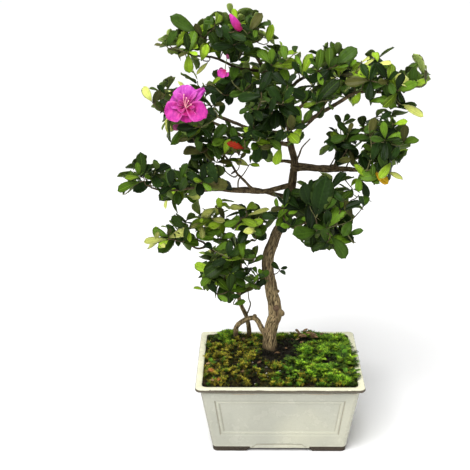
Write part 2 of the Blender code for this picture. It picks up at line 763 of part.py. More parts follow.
def shoot_tips(mass, draws):
    """Tips of a mass's shoots: an even spiral over its space, with the way each one points."""
    centre, radii = Vector(mass.centre), mass.radii
    tips = []
    for k in range(mass.shoots):
        lift = HIGHEST_SHOOT - (HIGHEST_SHOOT - LOWEST_SHOOT) * (k + 0.5) / mass.shoots
        turn = GOLDEN_TURN * k + draws.uniform(-TURN_STRAY, TURN_STRAY)
        flat = math.sqrt(1 - lift**2)
        out = Vector((flat * math.cos(turn), flat * math.sin(turn), lift))
        edge = 1 / math.sqrt(sum((out[j] / radii[j]) ** 2 for j in range(3)))
        reach = max(LEAST_REACH * edge, edge - mass.leaf * SHOOT_REACH)
        way = (out + Vector((0, 0, SHOOT_RISE))).normalized()
        tips.append((centre + out * reach, way))
    return tips


def grow_twigs(stem, tips, surroundings):
    """Twigs from the nearest place on what has grown so far to each tip that can be reached."""
    nodes = branch_nodes(stem)
    twigs = []
    for tip, way in tips:
        costs = []
        for place, node_way in nodes:
            gap = tip - place
            turn_back = 1 - node_way.dot(gap.normalized())
            costs.append(gap.length * (1 + TURN_BACK_COST * turn_back))
        best = costs.index(min(costs))
        start, node_way = nodes[best]
        heading = node_way.lerp((tip - start).normalized(), TWIG_TURN).normalized()
        steps = 2 if (tip - start).length > SHORT_TWIG else 1
        line = bent_line(start, heading, tip, way, SHOOT_WIDTH, SHOOT_WIDTH, steps)
        if surroundings.free(twig_samples(line)):
            twigs.append((line, way))
            del nodes[best]
            nodes += branch_nodes(line)
    return twigs


def twig_samples(line):
    """Places along a twig that stand for all of it."""
    return [
        low[:3] + (high[:3] - low[:3]) * share
        for low, high in zip(line, line[1:])
        for share in TWIG_SAMPLES
    ]


def branch_nodes(line):
    """Places on each stretch of a line, with its direction, where one twig each may branch."""
    nodes = []
    for low, high in zip(line, line[1:]):
        start, end = Vector(low[:3]), Vector(high[:3])
        for share in BRANCH_SHARES:
            nodes.append((start.lerp(end, share), (end - start).normalized()))
    return nodes


def whorl_rings(tip, axis, width, tiers):
    """Three-sided rings at the end of a shoot, two to a tier of leaves, each tier turned from the last."""
    across = axis.orthogonal().normalized()
    other = axis.cross(across)
    rings = []
    for tier in range(tiers):
        for edge in (0, 1):
            place = tip + axis * (TIER_STEP * tier + LEAF_ROOT * edge)
            ring = []
            for corner in range(3):
                turn = math.pi / 3 * (2 * corner - tier)
                ring.append(place + (across * math.cos(turn) + other * math.sin(turn)) * width / 2)
            rings.append(ring)
    return rings


def shoot_solid(line, axis, leaf_length, draws, surroundings, shoot):
    """A twig with tiers of three leaves at its end, each leaf drawn out of one of the twig's walls."""
    places = [Vector(row[:3]) for row in line]
    whorl = whorl_rings(places[-1], axis, SHOOT_WIDTH, LEAF_TIERS)
    across = axis.orthogonal().normalized()
    rings = []
    for k, place in enumerate(places[:-1]):
        ahead = (places[k + 1] - place).normalized()
        flat = (across - ahead * across.dot(ahead)).normalized()
        other = ahead.cross(flat)
        ring = []
        for corner in range(3):
            turn = 2 * math.pi * corner / 3
            ring.append(place + (flat * math.cos(turn) + other * math.sin(turn)) * line[k][3] / 2)
        rings.append(ring)
    first = len(rings)
    rings += whorl
    points, faces = loft(rings)
    walls = {}
    for tier in range(LEAF_TIERS):
        low = 3 * (first + 2 * tier)
        spread = math.radians(LEAF_SPREAD - TIER_LIFT * tier)
        for side in range(3):
            after = (side + 1) % 3
            corners = (low + side, low + after, low + 3 + after, low + 3 + side)
            root = sum((points[corner] for corner in corners), Vector()) / 4
            out = (root - root.project(axis) - (places[-1] - places[-1].project(axis))).normalized()
            tilt = spread + math.radians(draws.uniform(-LEAF_STRAY, LEAF_STRAY))
            way = axis * math.cos(tilt) + out * math.sin(tilt)
            size = leaf_length * draws.uniform(*LEAF_SIZES)
            for shrink in LEAF_SHRINKS:
                length = size * shrink
                outline = leaf_outline(root, way, axis, length, length * LEAF_WIDTH)
                blade = with_leaves([points[corner] for corner in corners], [], {(0, 1, 2, 3): outline})
                if surroundings.free(leaf_samples(root, outline)):
                    if not surroundings.crossed(blade, shoot):
                        walls[corners] = outline
                        surroundings.keep(blade, shoot)
                        break
    return with_leaves(points, faces, walls)


def with_leaves(points, faces, walls):
    """A body whose named walls are each drawn out into a leaf."""
    points = list(points)
    bare = {frozenset(corners) for corners in walls}
    faces = [face for face in faces if not any(wall.issuperset(face) for wall in bare)]
    for (low, low_after, high_after, high), outline in walls.items():
        left, right, tip, middle = range(len(points), len(points) + 4)
        points += outline
        faces += [
            (low, low_after, tip),
            (low_after, right, tip),
            (low, tip, left),
            (low, left, high),
            (low_after, high_after, right),
            (high, left, middle),
            (left, tip, middle),
            (tip, right, middle),
            (right, high_after, middle),
            (high, middle, high_after),
        ]
    return points, faces


def bloom_solid(bloom, stem):
    """A stalk from the mass's stem that ends in wide petals."""
    centre, facing = Vector(bloom.centre), Vector(bloom.facing).normalized()
    start = Vector(stem[-1][:3])
    line = bent_line(start, (centre - start).normalized(), centre, facing, SHOOT_WIDTH, SHOOT_WIDTH, 2)
    across = facing.orthogonal().normalized()
    other = facing.cross(across)
    rings = []
    for place in [Vector(row[:3]) for row in line] + [centre + facing * LEAF_ROOT]:
        ring = []
        for corner in range(bloom.petals):
            turn = 2 * math.pi * corner / bloom.petals
            ring.append(place + (across * math.cos(turn) + other * math.sin(turn)) * BLOOM_HEART / 2)
        rings.append(ring)
    points, faces = loft(rings)
    low = bloom.petals * (len(rings) - 2)
    walls = {}
    for side in range(bloom.petals):
        after = (side + 1) % bloom.petals
        corners = (low + side, low + after, low + bloom.petals + after, low + bloom.petals + side)
        root = sum((points[corner] for corner in corners), Vector()) / 4
        out = (root - centre).normalized()
        way = (out + facing * PETAL_RISE).normalized()
        length = bloom.width / 2
        walls[corners] = leaf_outline(root, way, facing, length, length * PETAL_WIDTH)
    return with_leaves(points, faces, walls)


def make_mass(name, limbs, stems, material):
    """One foliage mass: its stem, twigs, leaves and blossom fused into one body."""
    mass, stem = MASSES[name], stems[name]
    draws = random.Random(name)
    surroundings = Surroundings(name, limbs, stems)
    pieces = [tube(stem, 3)]
    surroundings.keep(pieces[0], None)
    twigs = grow_twigs(stem, shoot_tips(mass, draws), surroundings)
    for shoot, (line, _) in enumerate(twigs):
        surroundings.keep(tube(line, 3), shoot)
    for shoot, (line, way) in enumerate(twigs):
        pieces.append(shoot_solid(line, way, mass.leaf, draws, surroundings, shoot))
    for bloom in BLOOMS:
        if bloom.mass == name:
            pieces.append(bloom_solid(bloom, stem))
    return joined(name, pieces, material)


def build():
    """Every sub-part of the plant and its pot."""
    for old in list(bpy.data.objects):
        bpy.data.objects.remove(old)
    bark = principled("bark", BARK_BROWN, 0.85)
    leaf = principled("leaf", LEAF_GREEN, 0.4)
    make_pot(principled("glaze", GLAZE, 0.25))
    make_soil(principled("moss", MOSS_GREEN, 0.95))

    limbs = {
        "trunk": upright_limb(TRUNK_FOOT, TRUNK_FOOT_WIDTH, TRUNK_LINE, TRUNK_STEP),
        "second_stem": upright_limb(
            SECOND_STEM_FOOT, SECOND_STEM_FOOT_WIDTH, SECOND_STEM_LINE, LIMB_STEP
        ),
    }
    limbs["arch_root_rise"], limbs["arch_root_drop"] = arch_root(limbs)
    for name, bough in BOUGHS.items():
        limbs[name] = bough_limb(name, bough, limbs)
    for name, limb in limbs.items():
        add_object(name, *limb_solid(name, limb), bark)

    stems = {name: mass_stem(mass, limbs) for name, mass in MASSES.items()}
    for name in MASSES:
        make_mass(name, limbs, stems, leaf)


build()
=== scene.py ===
"""Looks for an azalea bonsai in its glazed rectangular pot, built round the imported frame.

Lengths inside the functions are in millimetres, in the frame's own axes: +Z up, the pot's long front
towards -Y.
"""

import json
import math
import random
from collections import namedtuple

import bpy
import numpy as np
from bpy.props import FloatProperty, FloatVectorProperty, IntProperty, PointerProperty
from mathutils import Matrix, Vector, noise
from mathutils.bvhtree import BVHTree

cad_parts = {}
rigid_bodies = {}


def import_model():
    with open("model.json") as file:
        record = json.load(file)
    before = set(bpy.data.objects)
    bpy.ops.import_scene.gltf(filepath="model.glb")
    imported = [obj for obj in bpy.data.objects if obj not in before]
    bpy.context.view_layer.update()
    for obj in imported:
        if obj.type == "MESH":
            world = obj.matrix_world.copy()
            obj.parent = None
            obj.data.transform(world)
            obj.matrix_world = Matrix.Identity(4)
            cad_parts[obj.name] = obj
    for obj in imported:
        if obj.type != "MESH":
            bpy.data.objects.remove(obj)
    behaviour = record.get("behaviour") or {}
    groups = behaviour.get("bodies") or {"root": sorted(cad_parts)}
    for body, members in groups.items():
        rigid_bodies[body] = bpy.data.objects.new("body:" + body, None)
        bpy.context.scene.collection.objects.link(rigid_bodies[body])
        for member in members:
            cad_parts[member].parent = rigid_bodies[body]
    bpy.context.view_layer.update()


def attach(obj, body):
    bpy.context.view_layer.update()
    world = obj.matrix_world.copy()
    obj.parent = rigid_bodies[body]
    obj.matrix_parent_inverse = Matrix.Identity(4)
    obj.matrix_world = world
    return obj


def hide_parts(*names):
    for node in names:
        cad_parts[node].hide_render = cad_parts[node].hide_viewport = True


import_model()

bl_info = {
    "name": "Azalea bonsai",
    "version": (1, 0, 0),
    "blender": (4, 5, 0),
    "location": "View3D > Sidebar > Azalea",
    "description": "Builds a potted azalea bonsai with bark, leaves, blossom and moss",
    "category": "Add Mesh",
}

TO_METRES = 0.001
GOLDEN_TURN = math.pi * (3 - math.sqrt(5))
UP = Vector((0, 0, 1))

# Pot
LIP_DROP = 8.0
LIP_OVERHANG = 6.4
LIP_WIDTH = 8.5
COVE_HEIGHT = 4.0
BODY_FOOT_WIDTH = 163.0
BODY_FOOT_DEPTH = 115.0
FOOT_HEIGHT = 5.0
POT_WALL = 6.0
POT_FLOOR = 7.0
POT_CORNER = 6.0
FOOT_LENGTH = 42.0
FOOT_SIDE_LENGTH = 32.0
FOOT_THICK = 12.0
PANEL_LOW = 24.5
PANEL_HIGH = 77.5
PANEL_MARGIN = 12.0
PANEL_TAPER = 0.035
CORNER_STEPS = 9
EDGE_COLUMNS = tuple(0.6 * step for step in range(1, 26))
SIDE_COLUMNS = (92, 57)  # columns between the edges' on a long side and on a short one
LOW_ROWS = (13.0, 0.55)  # the height up to which the wall's rows are close together, and their step
ROW_STEP = 0.91
# The moulding round a panel: how far inside the panel's edge, and how far out the wall stands there
GROOVE = (
    (0, 0), (0.8, -0.8), (1.5, -1.2), (2.4, -0.8), (3.4, -0.5), (4.4, -0.9), (5.4, -1.6), (6.8, -1.7),
    (9.0, -1.5),
)
POOLS_AND_SHADE = ((0.9, 1.6, 0.6), (5.8, 1.5, 0.45))  # glaze pooled in the moulding, painted darker as shade there too: place, half width and depth
POOL_AND_SHADE_SHARES = (0.4, 0.7, 1.5)  # how much of it lies along the panel's foot, its head and its upright edges
THIN_GLAZE_AND_HIGHLIGHT = (3.4, 1.7)  # the moulding's crest, where the glaze runs thin and a highlight is painted: place and half width
APRON_HALF = 27.0
APRON_SLOPE = 5.0
APRON_TOP = 10.6
GLAZE_LINE = 6.3
APRON_EDGE = (1.1, 0.9, 1.1)  # half width of the apron's edge line, its depth and the glaze that pools there, also painted shade along the line
BARE_ROWS = 4
CORNER_WEAR = (0.3, 0.6)  # wear of the glaze at a corner's middle, and what is added towards the ends
HAND_WOBBLE = 0.22  # how far the hand-pressed wall wanders
# The lip's profile: inset from its outer edge, height, and how much glaze pools, also painting shade in the
# crease, (+) or wears away (-).
# The outside is measured from the neck, the rest from the top.
LIP_OUTSIDE = (
    (6.9, 0.3, 0.7), (6.7, 0.8, 0.5), (5.6, 1.3, 0.0), (4.6, 2.1, 0.0), (3.2, 2.8, 0.0), (1.8, 3.4, 0.0),
    (0.8, 4.0, 0.0), (0.3, 4.7, 0.0), (0.1, 5.6, 0.0), (0.0, 6.5, -0.7),
)
LIP_TOP = (
    (0.2, -0.8, -1.0), (0.6, -0.3, -0.9), (1.1, -0.05, 0.0), (2.0, 0, 0.0), (4.2, 0.12, 0.0), (6.7, 0, 0.0),
    (7.6, -0.3, -0.1), (8.2, -0.9, -0.9), (8.5, -1.8, -1.0), (8.5, -3.0, -0.6),
)
# A corner foot's levels: height, inset, and how much longer it runs there
FOOT_LEVELS = ((0, 1.3, -1.5), (0.4, 0.8, -0.8), (2.4, 0.5, 0.6), (FOOT_HEIGHT - 0.3, 0.2, 3.8), (8, 0.5, 4))
# Metres over the neck between which the lip's glaze begins, the dark band of broken glaze and painted shade
# under the lip runs, and the stain lies
LIP_START = (0.0006, 0.0018)
BROKEN_AND_SHADED_LINE = (0.0030, 0.0036, 0.0078, 0.0085)
STAIN_LINE = (-0.0008, -0.0002, 0.0001, 0.0007)
BROKEN_AND_SHADED_GLAZE = (0.050, 0.032, 0.016)
STAINED_GLAZE = (0.42, 0.25, 0.12)
PITTED_GLAZE = (0.10, 0.08, 0.055)

# Soil and moss
SOIL_EDGE = 93.5
SOIL_RISE = 8.0
MOUND_POWER = 3
BACK_DIP = 3.5
MOUND_GRID = (91, 121)  # rows and columns
SOIL_CORNER = 8.0
SKIRT_DEPTH = 12.0
# Rises of the soil: height, then x, y and radius
BANKS = ((5.5, -62, 58, 25), (4.5, 36, 60, 24))
# Where the moss spills over the lip, and where soil lies bare: x, y and radius
SPILLS = ((88, 2, 30), (88, -48, 14), (-88, -14, 16))
BARE = (
    (0, 0, 30), (10, 22, 20), (6, -50, 9), (-30, -58, 9), (62, -18, 13), (-78, 38, 9), (34, 34, 12),
    (-26, -26, 11),
)
# Where the moss is fresher or drier: by how much, then x, y and radius
FRESHER = ((1.4, -76, 50, 36), (0.5, 40, -20, 50), (-0.5, -40, -20, 60), (0.7, 10, -48, 40))
TUFT_BLADES = 7
TUFT_SIZES = (2.0, 3.8)
TUFT_RISE = 4.2
FROND_JOINTS = 7
FROND_LENGTHS = (4.5, 11.0)
FROND_RISE = 2.6
DEEPEST_PAINTED_LIGHT = 0.04  # painted light left on moss in the deepest gap, which is painted near black as shade
# Leaves fallen at the front left: x, y, length, share of width, finish and turn
FALLEN = (
    (-79, -42, 15, 0.6, 0, 2.5),
    (-86, -38, 9, 0.7, 2, 2.2),
    (-88, -20, 8, 0.6, 2, 4.0),
    (-72, -60, 9, 0.55, 0, 1.4),
    (-80, -62, 7, 0.6, 2, 5.2),
)
PILE_LEAVES = 17  # dead leaves heaped behind the trunk
PILE_SPOT = ((40, 11), (46, 9))  # middle and spread, across and back
LOOSE_LEAVES = 26
LOOSE_AREA = ((-70, 80), (-55, 55))
GRIT = 36
GRIT_SPOT = ((-8, 18), (-36, 14))
GRIT_SIZES = (0.5, 1.1)
LEAFY_MOSS = (0.085, 0.21, 0.012)
BROWN_MOSS = (0.034, 0.024, 0.008)
CRUMBS = (0.05, 0.03, 0.014)
GREEN_FILM = ((0.03, 0.035, 0.008), (0.085, 0.085, 0.015))

# Trunk, stems and arched root: height above the table, x, y and thickness
TRUNK_LINE = (
    (100, -10, 17, 17.0),
    (121, -11, 15, 16.1),
    (138, -8, 15, 16.1),
    (153, -4, 15, 16.8),
    (183, -9, 14, 15.8),
    (221, -14, 13, 14.2),
    (251, -6, 12, 13.1),
    (292, 9, 10, 10.8),
    (344, 16, 8, 8.8),
    (367, 12, 8, 7.4),
    (401, 7, 8, 6.4),
    (429, -5, 8, 5.6),
    (458, -21, 9, 4.6),
    (480, -34, 10, 3.8),
)
SECOND_STEM_LINE = (
    (98, -36.5, 58, 6.6),
    (116, -38, 57, 5.8),
    (129, -41, 56, 5.6),
    (152, -49, 52, 5.6),
    (176, -49, 46, 5.4),
    (200, -48, 40, 5.2),
    (232, -46, 33, 4.4),
)
ARCH_LINE = (
    (114, -12, 15, 7.6),
    (127, -20, 20, 6.9),
    (138, -28, 27, 6.4),
    (134, -40, 34, 6.3),
    (121, -52, 42, 6.4),
    (106, -54, 45.5, 6.8),
    (96, -54, 46, 7.6),
)
FLARE = 0.34
FLARE_FOOT = 101.0
FLARE_HEIGHT = 8.0
FLARE_LOBES = 3
# Burrs on the trunk: middle, half sizes, seed and finish, where 1 is a pruning scar
BURRS = (
    ((3.0, 15.0, 152), (4.4, 4.0, 4.6), 1.0, 0),
    ((-3.6, 7.4, 162), (4.2, 2.4, 4.6), 5.0, 1),
    ((-2.6, 12.0, 183), (3.4, 2.6, 2.4), 6.5, 0),
    ((-16.0, 9.5, 208), (2.4, 3.0, 3.2), 8.0, 0),
)
ARCH_BURR = ((-29.5, 27.0, 141.5), (2.8, 2.4, 3.0), 14.0)
# Bark relief: the size of its cracks, flakes and lumps round a limb and along it
CRACK = (1.9, 13)
FLAKE = (0.9, 3.2)
KNOB_GRID = (7, 12)
LUMP_LENGTH = 16
CRACK_SHARPNESS = 4.6
FLAKE_DEPTH = 0.35
LUMP_DEPTH = 0.11
STAINED_BARK = (0.16, 0.10, 0.055)

# Boughs: the limb each grows from, how far along it, its tip, its width at both ends and its sag
Bough = namedtuple("Bough", "parent along tip width tip_width sag")
BOUGHS = {
    "bough_left_low": Bough("trunk", 0.565, (-76, -18, 325), 6.4, 4.2, 6),
    "bough_left_fork": Bough("bough_left_low", 0.48, (-58, -4, 352), 3.4, 2.6, 3),
    "bough_right_low": Bough("trunk", 0.624, (80, -18, 346), 9.2, 5.6, 0),
    "bough_left_mid": Bough("trunk", 0.636, (-30, -8, 366), 4.2, 3.2, 4),
    "bough_right_mid": Bough("trunk", 0.742, (73, -15, 429), 5.6, 4.0, 3),
    "bough_right_top": Bough("trunk", 0.845, (19, -2, 444), 4.6, 3.8, 1),
    "bough_flower": Bough("trunk", 0.722, (-78, -32, 415), 4.8, 3.4, 5),
    "bough_top_left": Bough("trunk", 0.915, (-70, 0, 468), 3.6, 2.8, 3),
    "bough_back_top": Bough("trunk", 0.800, (-12, 34, 424), 4.8, 3.6, 2),
    "bough_back_left": Bough("trunk", 0.690, (-84, 46, 388), 5.0, 3.4, 6),
    "bough_back_right": Bough("trunk", 0.765, (36, 36, 424), 4.8, 3.6, 3),
    "bough_back_mid_right": Bough("bough_right_low", 0.42, (98, 30, 351), 4.6, 3.4, 4),
    "bough_back_low_right": Bough("trunk", 0.440, (26, 36, 262), 5.4, 4.0, 3),
    "bough_back_low_left": Bough("trunk", 0.530, (-82, 42, 303), 5.4, 3.8, -5),
    "bough_stem_left": Bough("second_stem", 0.84, (-92, 20, 244), 3.6, 2.8, 4),
    "bough_stem_low": Bough("second_stem", 0.48, (-60, 22, 183), 3.4, 2.8, 0),
    "bough_stem_back": Bough("second_stem", 0.62, (-60, 64, 188), 3.4, 2.8, 1),
}
BOUGH_KNOTS = 7
COLLAR = 1.6
COLLAR_WIDTH = 1.12
HIDDEN_WIDTH = 1.25  # how much wider a bough is inside its parent
GNARL = 1.8
GNARL_RISE = 0.9
GNARL_TURNS = 8.0

# Foliage masses by piece: the limb each grows from and how far along it, the middle and half sizes of its
# space, its count of shoots, the length of its leaves and the tones dealt out to its sprays
Mass = namedtuple("Mass", "limb along centre radii shoots leaf tones")
CROWN = {
    "top": {
        "apex": Mass("trunk", 1, (-52, 4, 497), (49, 38, 34), 8, 30, "eemmyyl"),
        "top_left": Mass("bough_top_left", 1, (-105, -6, 484), (37, 34, 31), 5, 29, "eyyll"),
        "top_inner": Mass("trunk", 0.9, (-4, -14, 468), (26, 28, 22), 3, 29, "emy"),
        "left_top_inner": Mass("trunk", 0.87, (-54, -14, 441), (36, 30, 20), 4, 28, "ddem"),
        "right_top_inner": Mass("bough_right_top", 1, (52, -14, 465), (45, 34, 30), 6, 31, "deemy"),
        "right_top": Mass("bough_right_mid", 1, (129, -24, 447), (64, 42, 33), 8, 31, "deemyyl"),
    },
    "middle": {
        "flower": Mass("bough_flower", 1, (-109, -42, 421), (46, 38, 44), 7, 30, "dembly"),
        "left_upper": Mass("bough_left_fork", 1, (-76, -16, 378), (42, 34, 26), 5, 30, "debmy"),
        "left_mid": Mass("bough_left_mid", 1, (-26, -28, 383), (36, 28, 25), 4, 29, "dem"),
        "centre_front": Mass("trunk", 0.77, (-8, -46, 424), (42, 38, 47), 8, 31, "dddem"),
        "right_inner": Mass("trunk", 0.705, (46, -26, 427), (32, 30, 25), 4, 30, "ddem"),
        "right_mid_inner": Mass("bough_right_low", 0.68, (67, -18, 380), (26, 28, 32), 4, 27, "dem"),
    },
    "sides": {
        "right_mid": Mass("bough_right_low", 1, (113, -34, 374), (39, 38, 45), 7, 30, "deemm"),
        "low_right": Mass("trunk", 0.482, (54, -42, 297), (47, 38, 54), 8, 37, "ddeem"),
        "low_front": Mass("trunk", 0.535, (3, -30, 302), (27, 26, 31), 3, 32, "dem"),
        "left_outer": Mass("bough_left_low", 1, (-145, -40, 342), (40, 36, 38), 6, 28, "ddeem"),
        "left_inner": Mass("bough_left_low", 0.86, (-89, -28, 343), (38, 30, 27), 4, 30, "dde"),
        "trunk_low": Mass("trunk", 0.27, (-27, -6, 206), (17, 18, 16), 2, 19, "em"),
    },
    "stem": {
        "stem_left": Mass("bough_stem_left", 1, (-124, 12, 258), (40, 34, 25), 5, 27, "emyyl"),
        "stem_top": Mass("second_stem", 1, (-80, 28, 269), (36, 32, 27), 4, 26, "myll"),
        "stem_right": Mass("second_stem", 0.93, (-37, 8, 272), (30, 28, 28), 4, 27, "demy"),
        "stem_mid": Mass("second_stem", 0.8, (-55, 10, 236), (35, 28, 22), 4, 29, "eem"),
        "stem_low": Mass("bough_stem_low", 1, (-67, 16, 199), (40, 32, 38), 6, 33, "eemm"),
        "stem_back": Mass("bough_stem_back", 1, (-76, 70, 196), (34, 28, 30), 4, 30, "emmy"),
    },
    "back": {
        "back_top": Mass("bough_back_top", 1, (-22, 60, 432), (56, 37, 42), 6, 31, "deemy"),
        "back_left": Mass("bough_back_left", 1, (-122, 58, 396), (48, 38, 40), 5, 31, "deemyl"),
        "back_right": Mass("bough_back_right", 1, (68, 58, 432), (54, 38, 33), 5, 31, "deemy"),
        "back_mid_right": Mass("bough_back_mid_right", 1, (124, 50, 362), (40, 38, 38), 5, 30, "deem"),
        "back_low_right": Mass("bough_back_low_right", 1, (54, 58, 266), (50, 38, 42), 6, 32, "deem"),
        "back_low_left": Mass("bough_back_low_left", 1, (-122, 56, 306), (50, 40, 34), 5, 31, "deemy"),
    },
}
# Sprays at the front of each mass: how far right and how far up in its space, from -1 to 1, and their
# leaves' tones
SPRAYS = {
    "apex": (
        (-0.65, -0.1, "meedeb"), (-0.4, 0.35, "ydyed"), (-0.1, 0.5, "ymyed"), (0.15, 0.3, "eyd"),
        (0.4, -0.1, "bemdy"), (0.0, -0.3, "dddded"), (0.2, -0.6, "mede"), (-0.3, -0.5, "yme"),
        (-0.1, 0.1, "ddd"), (-0.35, -0.8, "emyd"), (0.1, -0.85, "eded"), (0.5, 0.2, "eme"),
        (0.75, -0.3, "ey"),
    ),
    "top_left": ((-0.5, 0.1, "yebl"), (-0.2, 0.1, "eymy"), (0.15, -0.1, "ymbye"), (0.55, -0.4, "yymyl")),
    "top_inner": ((-0.3, 0.0, "ymbmd"), (0.3, 0.2, "mmed"), (-0.3, -0.6, "ddded"), (0.7, 0.5, "mem")),
    "left_top_inner": (
        (0.35, -0.1, "deedd"), (-0.3, -0.2, "ddd"), (0.6, 0.3, "ddddd"), (-0.6, 0.3, "dyd"),
        (0.0, 0.5, "ede"), (-0.8, 0.2, "bed"),
    ),
    "flower": (
        (-0.6, 0.3, "dbybll"), (-0.3, 0.5, "mmyde"), (0.35, 0.5, "dddmem"), (0.6, 0.3, "ddd"),
        (0.5, -0.3, "dddme"), (0.2, -0.6, "ymdd"), (0.9, -0.1, "dded"), (0.8, 0.15, "ddbd"),
        (0.45, 0.72, "ded"),
    ),
    "left_upper": (
        (0.0, 0.3, "deedmd"), (-0.3, -0.2, "bbed"), (0.3, -0.3, "yeby"), (0.65, 0.1, "meb"),
        (0.4, 0.4, "mde"), (0.1, -0.7, "bby"), (-0.5, 0.4, "ebd"), (0.75, -0.4, "dbe"),
    ),
    "left_mid": ((-0.4, 0.2, "ddede"), (0.2, 0.1, "dded"), (-0.7, -0.4, "mdb")),
    "centre_front": (
        (-0.2, -0.6, "medddd"), (-0.55, -0.35, "dddddd"), (0.4, -0.4, "ddddbd"), (0.7, -0.3, "myym"),
        (0.0, -0.8, "yydbm"), (-0.45, -0.7, "ymdd"), (-0.35, 0.45, "deddd"), (0.2, 0.25, "dddd"),
        (-0.1, 0.0, "ddd"), (-0.6, 0.1, "dded"), (0.3, 0.6, "dded"), (0.35, -0.85, "yed"),
    ),
    "right_inner": ((-0.3, 0.1, "emydd"), (-0.8, 0.0, "dddedb"), (0.3, 0.3, "edd"), (-0.5, 0.65, "dme")),
    "right_top_inner": (
        (-0.7, -0.3, "mdyded"), (-0.35, -0.1, "ymmeye"), (-0.05, 0.0, "dmmye"), (0.4, 0.0, "eym"),
        (0.2, -0.3, "ydb"), (-0.5, -0.55, "dded"),
    ),
    "right_top": (
        (-0.75, 0.55, "yydyle"), (-0.6, 0.2, "yddbmd"), (-0.3, 0.2, "eeybdd"), (-0.15, -0.1, "ymyed"),
        (0.1, 0.0, "mylme"), (0.3, 0.1, "mdyb"), (0.5, 0.0, "mbym"), (-0.25, -0.4, "ddmeeb"),
        (0.15, -0.45, "lyed"), (-0.75, -0.15, "ymed"), (-0.45, 0.7, "yly"), (-0.1, -0.7, "emd"),
        (0.7, 0.2, "mbl"), (-0.7, 0.7, "yl"),
    ),
    "right_mid_inner": (
        (0.2, 0.4, "eeeedb"), (-0.3, 0.1, "dydbb"), (0.3, -0.1, "beeb"), (-0.2, -0.6, "bbb"),
        (0.0, 0.8, "dede"),
    ),
    "right_mid": (
        (-0.5, 0.45, "deebm"), (-0.1, 0.4, "dmeem"), (0.4, 0.3, "emeyb"), (-0.45, -0.1, "mddy"),
        (0.1, -0.1, "ymdld"), (0.0, -0.4, "mled"), (-0.5, -0.6, "ddmmyb"), (-0.25, 0.8, "mede"),
        (0.15, 0.75, "eyd"), (0.6, -0.2, "myy"), (-0.3, -0.8, "ded"),
    ),
    "low_right": (
        (-0.3, 0.35, "deedb"), (-0.1, 0.0, "eemeed"), (0.5, 0.15, "ebbe"), (0.2, 0.35, "dde"),
        (-0.5, -0.1, "eddd"), (-0.1, -0.35, "medeem"), (0.4, -0.2, "eme"), (0.0, 0.75, "edde"),
        (-0.5, 0.65, "ebd"), (0.6, -0.4, "ee"), (0.75, 0.35, "ded"), (-0.1, -0.75, "med"),
    ),
    "low_front": ((0.0, 0.35, "dbddm"), (0.6, 0.2, "edmed"), (-0.3, -0.1, "dmde"), (0.3, -0.4, "emed")),
    "left_outer": (
        (-0.2, 0.3, "emdyem"), (-0.5, 0.0, "mdmm"), (0.05, -0.15, "mdym"), (0.6, 0.0, "eeddd"),
        (-0.75, -0.3, "em"),
    ),
    "left_inner": (
        (-0.6, 0.0, "dedeed"), (-0.6, -0.5, "dmbed"), (0.05, 0.0, "bdmdyd"), (0.5, -0.1, "dde"),
    ),
    "stem_left": ((-0.5, 0.0, "llyll"), (-0.15, 0.25, "ylmmb"), (0.3, 0.0, "mdle"), (0.4, 0.55, "eyy")),
    "stem_top": (
        (-0.4, 0.2, "lllyb"), (0.0, 0.4, "ylm"), (0.4, 0.3, "ymbl"), (-0.3, -0.35, "mmyy"),
        (0.3, -0.6, "yymm"), (0.1, 0.85, "lyl"),
    ),
    "stem_right": (
        (-0.3, 0.5, "mydyml"), (0.0, 0.2, "eedyb"), (0.4, 0.05, "llmb"), (-0.6, 0.0, "ymmme"),
        (0.3, -0.5, "lmb"), (-0.1, 0.85, "yly"),
    ),
    "stem_mid": (
        (0.35, 0.0, "ymmde"), (-0.15, 0.05, "ededed"), (-0.7, 0.4, "mdyb"), (0.8, -0.1, "yed"),
        (0.7, -0.4, "dmd"),
    ),
    "stem_low": (
        (-0.3, 0.45, "emmye"), (0.2, 0.4, "eeed"), (0.2, -0.2, "mmmed"), (-0.2, -0.3, "mmde"),
        (0.5, -0.4, "bbd"), (-0.65, 0.2, "mem"), (-0.6, -0.2, "mmy"), (0.75, 0.3, "mde"),
        (0.3, -0.8, "mm"),
    ),
    "trunk_low": ((-0.2, 0.1, "deemd"), (0.2, -0.3, "med"), (0.1, 0.5, "em"), (0.0, 0.8, "ded")),
}
